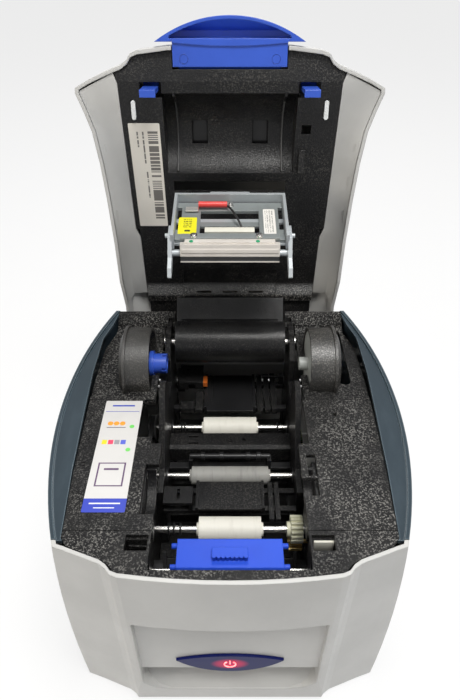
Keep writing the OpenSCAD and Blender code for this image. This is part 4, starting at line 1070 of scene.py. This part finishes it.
@dataclass
class Shaper:
    """A mesh under way, in millimetres in one seat."""

    seat: Seat
    mesh: bmesh.types.BMesh = field(default_factory=bmesh.new)

    def block(self, low: Point, high: Point, rounding: float) -> "Shaper":
        """Adds a block with rounded edges.

        Args:
            low: Lowest corner.
            high: Highest corner.
            rounding: Radius of its edges.

        Returns:
            This shaper.
        """
        sides = [b - a for a, b in zip(low, high)]
        middle = [(a + b) / 2.0 for a, b in zip(low, high)]
        place = Matrix.Translation(middle) @ Matrix.Diagonal((*sides, 1.0))
        made = bmesh.ops.create_cube(self.mesh, size=1.0, matrix=place)
        self._round([e for v in made["verts"] for e in v.link_edges], rounding)
        return self

    def rod(self, start: Point, end: Point, radius: float, rounding: float, sides: int,
            tip: Optional[float] = None) -> "Shaper":
        """Adds a round rod or cone between two points.

        Args:
            start: Middle of its first end.
            end: Middle of its second end.
            radius: Radius at the first end.
            rounding: Radius of its rims.
            sides: Number of sides.
            tip: Radius at the second end, the same where it is None.

        Returns:
            This shaper.
        """
        first, last = Vector(start), Vector(end)
        along = last - first
        turn = along.to_track_quat("Z", "Y").to_matrix().to_4x4()
        place = Matrix.Translation((first + last) / 2.0) @ turn
        made = bmesh.ops.create_cone(
            self.mesh, cap_ends=True, segments=sides, radius1=radius,
            radius2=radius if tip is None else tip, depth=along.length, matrix=place,
        )
        rims = [e for v in made["verts"] for e in v.link_edges if e.calc_face_angle(0.0) > 1.0]
        self._round(rims, rounding)
        return self

    def sweep(self, centre: Point, axis: Point, start: Point, radius: float, turn_deg: float,
              steps: int, sides: int) -> "Shaper":
        """Sweeps a round section about an axis, into a ring or an arc.

        Args:
            centre: Point on the axis.
            axis: Direction of the axis.
            start: Middle of the section at the start.
            radius: Radius of the section.
            turn_deg: Whole turn in degrees.
            steps: Number of steps.
            sides: Number of sides of the section.

        Returns:
            This shaper.
        """
        full = abs(turn_deg) == FULL_TURN_DEG
        spoke = Vector(start) - Vector(centre)
        forward = Vector(axis).cross(spoke)
        place = Matrix.Translation(start) @ forward.to_track_quat("Z", "Y").to_matrix().to_4x4()
        made = bmesh.ops.create_circle(
            self.mesh, cap_ends=not full, segments=sides, radius=radius, matrix=place,
        )
        ring = made["verts"]
        parts = list({e for v in ring for e in v.link_edges})
        if not full:
            parts += list({f for v in ring for f in v.link_faces})
        bmesh.ops.spin(
            self.mesh, geom=parts, cent=centre, axis=axis, angle=math.radians(turn_deg), steps=steps,
            use_merge=full, use_duplicate=False,
        )
        return self

    def turned(self, middle: Point, profile: Sequence[tuple[float, float]], steps: int) -> "Shaper":
        """Turns a side profile about a line along x.

        Args:
            middle: Point on the line.
            profile: Distances along x and radii, from end to end.
            steps: Steps of the full turn.

        Returns:
            This shaper.
        """
        corners = [self.mesh.verts.new((middle[0] + x, middle[1], middle[2] + r)) for x, r in profile]
        lines = [self.mesh.edges.new(pair) for pair in zip(corners, corners[1:])]
        bmesh.ops.spin(
            self.mesh, geom=[*corners, *lines], cent=middle, axis=(1.0, 0.0, 0.0), angle=2.0 * math.pi,
            steps=steps, use_merge=True, use_duplicate=False,
        )
        return self

    def screw(self, middle: Point, normal: Point, radius: float, height: float) -> "Shaper":
        """Adds a domed screw head with a cross recess.

        Args:
            middle: Middle of the seat it stands on.
            normal: Direction that it faces.
            radius: Radius of the head.
            height: Height of the head.

        Returns:
            This shaper.
        """
        top_share, rim_widening, slot_share, recess_share = 0.78, 1.18, 0.1, 0.45
        part = Shaper(self.seat)
        bm = part.mesh
        flat = radius * top_share
        bmesh.ops.create_grid(bm, x_segments=3, y_segments=3, size=flat * 0.5)
        part._draw_to(flat)
        bmesh.ops.subdivide_edges(bm, edges=[e for e in bm.edges if e.is_boundary], cuts=2)
        part._draw_to(flat)
        cross = [f for f in bm.faces if min(map(abs, f.calc_center_median().xy)) < radius * slot_share]
        bmesh.ops.inset_region(bm, faces=cross, thickness=radius * 0.03, depth=-height * recess_share)
        rings = ((rim_widening, 0.1), (1.0 / top_share / rim_widening, 0.25), (1.0, 0.65))
        for widen, drop in rings:
            skirt = bmesh.ops.extrude_edge_only(bm, edges=[e for e in bm.edges if e.is_boundary])
            low = [g for g in skirt["geom"] if isinstance(g, bmesh.types.BMVert)]
            bmesh.ops.scale(bm, verts=low, vec=(widen, widen, 1.0))
            bmesh.ops.translate(bm, verts=low, vec=(0.0, 0.0, -height * drop))
        turn = Vector(normal).to_track_quat("Z", "Y").to_matrix().to_4x4()
        lift = Matrix.Translation(Vector(middle) + Vector(normal).normalized() * (height * 0.92)) @ turn
        return self.join(part, lift)

    def _draw_to(self, radius: float) -> None:
        """Draws the open boundary out to a circle about the origin."""
        for vert in [v for v in self.mesh.verts if v.is_boundary]:
            vert.co = Vector((vert.co.x, vert.co.y, 0.0)).normalized() * radius

    def join(self, part: "Shaper", place: Matrix) -> "Shaper":
        """Adds another shaper's mesh to this one.

        Args:
            part: Shaper that is used up.
            place: Matrix that puts it in place, in millimetres.

        Returns:
            This shaper.
        """
        part.mesh.transform(place)
        carrier = settled(part.mesh, "joined")
        self.mesh.from_mesh(carrier)
        bpy.data.meshes.remove(carrier)
        return self

    def sheet(self, low: Point, high: Point, face: Face, thickness: float) -> "Shaper":
        """Adds a thin label with its own u and v over its face.

        Args:
            low: Lowest corner of its outer face.
            high: Highest corner of its outer face.
            face: Side that shows.
            thickness: Thickness behind that face.

        Returns:
            This shaper.
        """
        self.mesh.loops.layers.uv.new("print")
        grid = bmesh.ops.create_grid(self.mesh, x_segments=1, y_segments=1, size=0.5, calc_uvs=True)
        turns = {Face.UP: Matrix.Identity(4), Face.DOWN: Matrix.Diagonal((1.0, 1.0, -1.0, 1.0)),
                 Face.FRONT: about_x(90.0)}
        up = 2 if face is Face.FRONT else 1
        wide, tall = (high[axis] - low[axis] for axis in (0, up))
        middle = [(a + b) / 2.0 for a, b in zip(low, high)]
        place = Matrix.Translation(middle) @ turns[face] @ Matrix.Diagonal((wide, tall, 1.0, 1.0))
        bmesh.ops.transform(self.mesh, matrix=place, verts=grid["verts"])
        if face is Face.DOWN:
            bmesh.ops.reverse_faces(self.mesh, faces=list(self.mesh.faces))
        bmesh.ops.bevel(
            self.mesh, geom=list(self.mesh.verts), offset=LABEL_CORNER, offset_type="OFFSET", segments=3,
            profile=0.5, affect="VERTICES", material=-1,
        )
        bmesh.ops.solidify(self.mesh, geom=list(self.mesh.faces), thickness=thickness)
        return self

    def _round(self, edges: Sequence[bmesh.types.BMEdge], radius: float) -> None:
        """Rounds edges.

        Args:
            edges: The edges, some of them perhaps twice.
            radius: Radius in millimetres.
        """
        bmesh.ops.bevel(
            self.mesh, geom=list(set(edges)), offset=radius, offset_type="OFFSET", segments=2, profile=0.5,
            affect="EDGES", material=-1,
        )

    def finish(self, name: str, finish: Finish, body: str, slot: str) -> None:
        """Makes the object and lets it ride.

        Args:
            name: Name of the piece.
            finish: Its finish.
            body: Body that it moves with.
            slot: Not used.
        """
        bm = self.mesh
        bmesh.ops.remove_doubles(bm, verts=bm.verts, dist=MERGE)
        if not bm.loops.layers.uv:
            bmesh.ops.recalc_face_normals(bm, faces=bm.faces)
        bm.transform(self.seat.matrix)
        bm.normal_update()
        smooth_shaded(bm, PIECE_CREASE_DEG)
        seat_piece(settled(bm, name), name, finish, body)


def seat_piece(mesh: bpy.types.Mesh, name: str, finish: Finish, body: str) -> bpy.types.Object:
    """Links a finished mesh as a piece that rides on a body.

    Args:
        mesh: Mesh in the part's metres.
        name: Name of the piece.
        finish: Its finish.
        body: Body that it moves with.

    Returns:
        The object.
    """
    piece = linked(name, mesh)
    mesh.materials.clear()
    mesh.materials.append(finish.material())
    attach(piece, body)
    log.info("%s: %d faces on %s", name, len(mesh.polygons), body)
    return piece


def lead(seat: Seat, path: Sequence[Point], radius: float, name: str) -> bpy.types.Mesh:
    """Mesh of a thin round lead along a smooth path.

    Args:
        seat: Seat of the path.
        path: Points that it passes, in millimetres.
        radius: Radius of the lead.
        name: Name of the mesh.

    Returns:
        The mesh in metres.
    """
    curve = bpy.data.curves.new(name + "_line", "CURVE")
    curve.dimensions = "3D"
    curve.bevel_depth = radius
    curve.bevel_resolution = 3
    curve.resolution_u = 10
    curve.use_fill_caps = True
    line = curve.splines.new("NURBS")
    line.points.add(len(path) - 1)
    for knot, place in zip(line.points, path):
        knot.co = (*place, 1.0)
    line.order_u = 3
    line.use_endpoint_u = True
    holder = linked(name + "_line", curve)
    bpy.context.view_layer.update()
    mesh = bpy.data.meshes.new_from_object(holder.evaluated_get(bpy.context.evaluated_depsgraph_get()))
    bpy.data.objects.remove(holder)
    mesh.transform(seat.matrix)
    return mesh


# ---- Sub-assemblies ----


@dataclass
class Casework:
    """The CAD nodes, dressed in their finishes, with smooth copies of the faceted ones.

    A smooth copy is given by its node, body, slot and the angle in degrees at which it stays creased.
    """

    smoothed: tuple[tuple[str, str, str, float], ...] = (
        ("lid_shell", "lid", "white_abs", 24.0),
        ("lid_cheeks", "lid", "white_abs", 62.0),
    )
    merge_m: float = 1e-6
    flat_deg: float = 0.5

    def dress(self, nodes: Mapping[str, bpy.types.Object]) -> None:
        """Gives each node its finish.

        Args:
            nodes: CAD nodes by name.
        """
        for name, node in nodes.items():
            slot = node.material_slots[0]
            kind = slot.material.name.split(".")[0] if slot.material else "black_moulding"
            finish = NODE_FINISH.get(name) or SLOT_FINISH.get(kind, FINISHES.black)
            for each in node.material_slots:
                each.material = finish.material()
            log.info("%s: %s as %s", name, kind, finish.name)

    def smooth(self, nodes: Mapping[str, bpy.types.Object]) -> None:
        """Replaces faceted shells with copies that are shaded smoothly across shallow edges.

        Args:
            nodes: CAD nodes by name.
        """
        for name, body, slot, crease_deg in self.smoothed:
            bm = bmesh.new()
            bm.from_mesh(nodes[name].data)
            bmesh.ops.remove_doubles(bm, verts=bm.verts, dist=self.merge_m)
            bmesh.ops.dissolve_limit(
                bm, angle_limit=math.radians(self.flat_deg), verts=bm.verts, edges=bm.edges,
            )
            smooth_shaded(bm, crease_deg)
            copy = name + "_smooth"
            piece = seat_piece(settled(bm, copy), copy, NODE_FINISH.get(name, SLOT_FINISH[slot]), body)
            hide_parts(name)


@dataclass(frozen=True)
class Label:
    """One printed label: the corners of its outer face, the side that shows, its finish and its body."""

    name: str
    seat: Seat
    low: Point
    high: Point
    face: Face
    finish: Finish
    body: str


@dataclass
class Labels:
    """Printed labels with plain bars, dots and frames."""

    paper: float = 0.18
    labels: tuple[Label, ...] = (
        Label("lid_label", Seat.LINER, (-69.6, 20.0, -PRINT_LIFT), (-48.1, 100.6, -PRINT_LIFT), Face.DOWN,
              FINISHES.lid_print, "lid"),
        Label("guide_label", Seat.CASE, (-86.9, -165.4, DECK_TOP + PRINT_LIFT),
              (-61.3, -73.0, DECK_TOP + PRINT_LIFT), Face.UP, FINISHES.guide_print, "casing"),
        Label("badge_label", Seat.HEAD, (-35.2, -1.75, 13.0), (-22.7, -1.75, 32.0), Face.FRONT,
              FINISHES.badge_print, "print_head"),
        Label("lines_label", Seat.HEAD, (23.0, -1.75, 13.0), (31.2, -1.75, 42.0), Face.FRONT,
              FINISHES.line_print, "print_head"),
    )

    def build(self) -> None:
        """Makes the four labels."""
        for each in self.labels:
            paper = Shaper(each.seat).sheet(each.low, each.high, each.face, self.paper)
            paper.finish(each.name, each.finish, each.body, "white_nylon")


@dataclass
class HeadFittings:
    """Lead, paint marks, top screw and connector plug of the print head."""

    lead_radius: float = 0.8
    lead_path: tuple[Point, ...] = (
        (-3.4, -3.8, 43.6), (-1.8, -4.6, 42.0), (1.2, -5.4, 36.0), (4.6, -4.9, 28.0), (7.4, -2.6, 22.0),
        (8.4, 0.0, 19.4), (8.5, 0.4, 17.5),
    )
    marks: tuple[Point, ...] = ((-25.6, -1.9, 4.6), (18.4, -1.9, 4.6), (-3.2, -1.5, 46.6))
    mark_radius: float = 1.5
    mark_height: float = 0.5
    mark_rounding: float = 0.15
    mark_taper: float = 0.7
    mark_sides: int = 20
    screw_place: Point = (-0.2, -1.6, 48.3)
    screw_radius: float = 2.1
    screw_height: float = 1.1
    plug_low: Point = (-17.06, -2.56, 15.0)
    plug_high: Point = (16.56, -0.9, 19.56)

    def build(self) -> None:
        """Makes the lead, the marks, the screw and the plug."""
        mesh = lead(Seat.HEAD, self.lead_path, self.lead_radius, "head_lead")
        seat_piece(mesh, "head_lead", FINISHES.smooth_black, "print_head")
        drops = Shaper(Seat.HEAD)
        for x, y, z in self.marks:
            drops.rod((x, y, z), (x, y - self.mark_height, z), self.mark_radius, self.mark_rounding,
                      self.mark_sides, self.mark_radius * self.mark_taper)
        drops.finish("paint_marks", FINISHES.mark_green, "print_head", "board_green")
        head = Shaper(Seat.HEAD)
        head.screw(self.screw_place, (0.0, -1.0, 0.0), self.screw_radius, self.screw_height)
        head.finish("head_top_screw", FINISHES.steel, "print_head", "steel")
        plug = Shaper(Seat.HEAD).block(self.plug_low, self.plug_high, PIECE_FILLET)
        plug.finish("connector_front", FINISHES.nylon, "print_head", "white_nylon")


@dataclass(frozen=True)
class ClipRow:
    """Clips on one shaft: where they sit along x, and the shaft's y and z."""

    name: str
    body: str
    places: tuple[float, ...]
    middle: tuple[float, float]


@dataclass
class ShaftFittings:
    """Clips on the roller shafts."""

    rows: tuple[ClipRow, ...] = (
        ClipRow("rear_shaft_clips", "rear_roller", (-38.6, -36.2, 38.0), (-45.0, -52.5)),
        ClipRow("front_shaft_clips", "front_roller", (-41.5, -38.0, -33.6), (-138.8, -52.5)),
    )
    bore: float = 2.5
    radius: float = 3.9
    width: float = 1.3
    chamfer: float = 0.3
    steps: int = 32

    def build(self) -> None:
        """Makes both rows of clips."""
        half, rim = self.width / 2.0, self.radius - self.chamfer
        side = half - self.chamfer
        profile = ((-half, self.bore), (-half, rim), (-side, self.radius), (side, self.radius), (half, rim),
                   (half, self.bore), (-half, self.bore))
        for row in self.rows:
            rings = Shaper(Seat.CASE)
            for x in row.places:
                rings.turned((x, *row.middle), profile, self.steps)
            rings.finish(row.name, FINISHES.smooth_black, row.body, "black_smooth")


@dataclass
class PowerMark:
    """Lit ring and stroke on the push lens."""

    front: float = -205.35
    height: float = -103.0
    radius: float = 3.7
    line: float = 0.42
    gap_deg: float = 70.0
    stroke: tuple[float, float] = (0.6, 4.6)
    stroke_rounding: float = 0.1
    stroke_sides: int = 12
    steps: int = 40
    sides: int = 10

    def build(self) -> None:
        """Makes the mark."""
        mark = Shaper(Seat.CASE)
        half_gap = math.radians(self.gap_deg / 2.0)
        middle = Vector((0.0, self.front, self.height))
        start = middle + Vector((math.sin(half_gap), 0.0, math.cos(half_gap))) * self.radius
        mark.sweep(tuple(middle), (0.0, 1.0, 0.0), tuple(start), self.line, FULL_TURN_DEG - self.gap_deg,
                   self.steps, self.sides)
        ends = [(0.0, self.front, self.height + rise) for rise in self.stroke]
        mark.rod(*ends, self.line, self.stroke_rounding, self.stroke_sides)
        mark.finish("power_mark", FINISHES.glow, "button", "button_blue")


@dataclass
class LidFittings:
    """Small pieces in the lid: window backs, grey pocket rims whose colour is a painted highlight on the
    black pocket ribs, the liner's tail and the latch's mould marks.
    """

    back_low: Point = (14.2, -164.8, 37.0)
    back_high: Point = (29.2, -145.2, 38.4)
    tail_low: Point = (-69.6, -13.4, 50.7)
    tail_high: Point = (69.6, 10.0, 52.0)
    tail_fillet: float = 0.4
    hub: Point = (37.2, -154.0, 4.53)
    pocket_radius: float = 27.9
    pocket_turn_deg: float = 112.0
    rim_radius: float = 0.45
    mark_middle: Point = (29.5, -204.0, 7.95)
    mark_radius: float = 2.7
    mark_line: float = 0.16
    rim_steps: int = 36
    mark_steps: int = 40
    sides: int = 8

    def build(self) -> None:
        """Makes the pieces."""
        backs, rims, marks = (Shaper(Seat.LID) for _ in range(3))
        half = math.radians(self.pocket_turn_deg / 2.0)
        to_rim = Vector((0.0, -math.sin(half), math.cos(half))) * self.pocket_radius
        to_line = Vector((self.mark_radius, 0.0, 0.0))
        for side in (-1.0, 1.0):
            ends = sorted((self.back_low[0] * side, self.back_high[0] * side))
            backs.block((ends[0], *self.back_low[1:]), (ends[1], *self.back_high[1:]), PIECE_FILLET)
            hub = Vector((self.hub[0] * side, *self.hub[1:]))
            rims.sweep(tuple(hub), (1.0, 0.0, 0.0), tuple(hub + to_rim), self.rim_radius,
                       -self.pocket_turn_deg, self.rim_steps, self.sides)
            spot = Vector((self.mark_middle[0] * side, *self.mark_middle[1:]))
            marks.sweep(tuple(spot), (0.0, 0.0, 1.0), tuple(spot + to_line), self.mark_line, FULL_TURN_DEG,
                        self.mark_steps, self.sides)
        backs.finish("window_backs", FINISHES.smooth_black, "lid", "black_smooth")
        # Thin arcs along the real edges of the black pocket ribs; their grey colour is a painted highlight
        rims.finish("pocket_rim_highlights", FINISHES.grey, "lid", "black_smooth")
        marks.finish("mould_marks", FINISHES.blue, "latch", "latch_blue")
        tail = Shaper(Seat.LID).block(self.tail_low, self.tail_high, self.tail_fillet)
        tail.finish("liner_tail", FINISHES.black, "lid", "black_moulding")


@dataclass
class CaseFittings:
    """Small fittings of the casing: the switch flag and the screws of the rear panel."""

    flag_low: Point = (47.2, -182.9, -7.6)
    flag_high: Point = (58.8, -181.45, 1.2)
    back_screws: tuple[tuple[float, float], ...] = ((77.0, -46.0), (61.0, -151.0))
    back_face: float = 38.0
    screw_radius: float = 3.2
    screw_height: float = 1.4

    def build(self) -> None:
        """Makes the flag and the screws."""
        flag = Shaper(Seat.CASE).block(self.flag_low, self.flag_high, PIECE_FILLET)
        flag.finish("switch_flag", FINISHES.nylon, "casing", "white_nylon")
        heads = Shaper(Seat.CASE)
        for x, z in self.back_screws:
            for side in (-1.0, 1.0):
                place = (x * side, self.back_face, z)
                heads.screw(place, (0.0, 1.0, 0.0), self.screw_radius, self.screw_height)
        heads.finish("back_screws", FINISHES.steel, "casing", "steel")


# ---- Studio ----

WHITE = (1.0, 1.0, 1.0)


@dataclass(frozen=True)
class Lamp:
    """A soft square lamp: place and aim in metres, side in metres, power in watts."""

    name: str
    place: Point
    aim: Point
    side: float
    power: float
    colour: Colour = WHITE

    def build(self) -> None:
        """Makes the lamp."""
        light = bpy.data.lights.new(self.name, "AREA")
        light.energy = self.power
        light.size = self.side
        light.color = self.colour
        holder = linked(self.name, light)
        holder.location = self.place
        holder.rotation_euler = (Vector(self.aim) - Vector(self.place)).to_track_quat("-Z", "Y").to_euler()


@dataclass(frozen=True)
class Backdrop(Finish):
    """Pale ground that reads as white to the eye and keeps the shadow."""

    lift: float = 0.8
    fleck: float = 60.0
    greys: tuple[Colour, Colour] = ((0.86, 0.86, 0.86), (0.9, 0.9, 0.9))

    def paint(self, graph: Graph) -> None:
        """Builds the nodes.

        Args:
            graph: Empty tree of the material.
        """
        base = graph.mix(graph.noise(self.fleck, 3.0), *self.greys)
        matt = graph.add("BsdfPrincipled", None, {"Base Color": base, "Roughness": 0.8})
        bright = graph.add("Emission", None, {"Color": WHITE, "Strength": 1.0})
        both = graph.add("MixShader", None, {0: graph.pale_rays() * self.lift, 1: matt, 2: bright})
        graph.add("OutputMaterial", None, {"Surface": both})


@dataclass
class Studio:
    """Pale floor, plain soft lamps and the camera."""

    eye: Point = (0.0, -0.2972, 0.457)
    pitch_deg: float = 39.3
    focal_px: float = 579.0
    frame_px: float = 700.0
    sensor_mm: float = 36.0
    near: float = 0.01
    floor_half: float = 30.0
    ambient: float = 0.12
    beyond: float = 0.82
    lamps: tuple[Lamp, ...] = (
        Lamp("top", (0.16, -0.3, 1.35), (0.0, -0.05, 0.12), 0.5, 15.0, (1.0, 0.99, 0.96)),
        Lamp("left", (-0.95, -0.35, 0.5), (0.0, -0.1, 0.1), 0.45, 3.6, (1.0, 0.94, 0.84)),
        Lamp("right", (1.0, -0.25, 0.8), (0.0, 0.0, 0.2), 0.5, 2.6, (0.93, 0.96, 1.0)),
        Lamp("back", (0.05, 0.75, 1.3), (0.0, 0.0, 0.2), 0.4, 6.5),
    )

    def build(self) -> None:
        """Makes the floor, the world, the lamps and the camera."""
        bm = bmesh.new()
        bmesh.ops.create_grid(bm, x_segments=2, y_segments=2, size=self.floor_half)
        floor = linked("floor", settled(bm, "floor"))
        floor.data.materials.append(Backdrop("backdrop").material())
        for lamp in self.lamps:
            lamp.build()
        self._world()
        self._camera()

    def _world(self) -> None:
        """Even soft surroundings that are white where they are seen."""
        world = bpy.data.worlds.new("surroundings")
        graph = Graph(world)
        dim = graph.add("Background", None, {"Color": WHITE, "Strength": self.ambient})
        white = graph.add("Background", None, {"Color": WHITE, "Strength": self.beyond})
        both = graph.add("MixShader", None, {0: graph.pale_rays(), 1: dim, 2: white})
        graph.add("OutputWorld", None, {"Surface": both})
        bpy.context.scene.world = world
        bpy.context.scene.view_settings.view_transform = "Standard"

    def _camera(self) -> None:
        """Camera above and in front, looking down into the open works."""
        camera = bpy.data.cameras.new("camera")
        camera.sensor_fit = "VERTICAL"
        camera.sensor_height = self.sensor_mm
        camera.lens = self.focal_px / self.frame_px * self.sensor_mm
        camera.clip_start = self.near
        holder = linked("camera", camera)
        holder.location = self.eye
        holder.rotation_euler = (math.radians(90.0 - self.pitch_deg), 0.0, 0.0)
        bpy.context.scene.camera = holder


def corners(bounds: Sequence[Sequence[float]]) -> list[list[float]]:
    """Two corners as plain lists."""
    return [[round(float(value), 6) for value in corner] for corner in bounds]


def main() -> None:
    """Builds the studio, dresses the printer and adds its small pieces."""
    logging.basicConfig(level=logging.INFO, format="%(name)s: %(message)s")
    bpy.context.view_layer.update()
    Studio().build()
    case = Casework()
    case.dress(frame["nodes"])
    case.smooth(frame["nodes"])
    for group in (Labels(), HeadFittings(), ShaftFittings(), PowerMark(), LidFittings(), CaseFittings()):
        group.build()


if __name__ == "__main__":
    main()
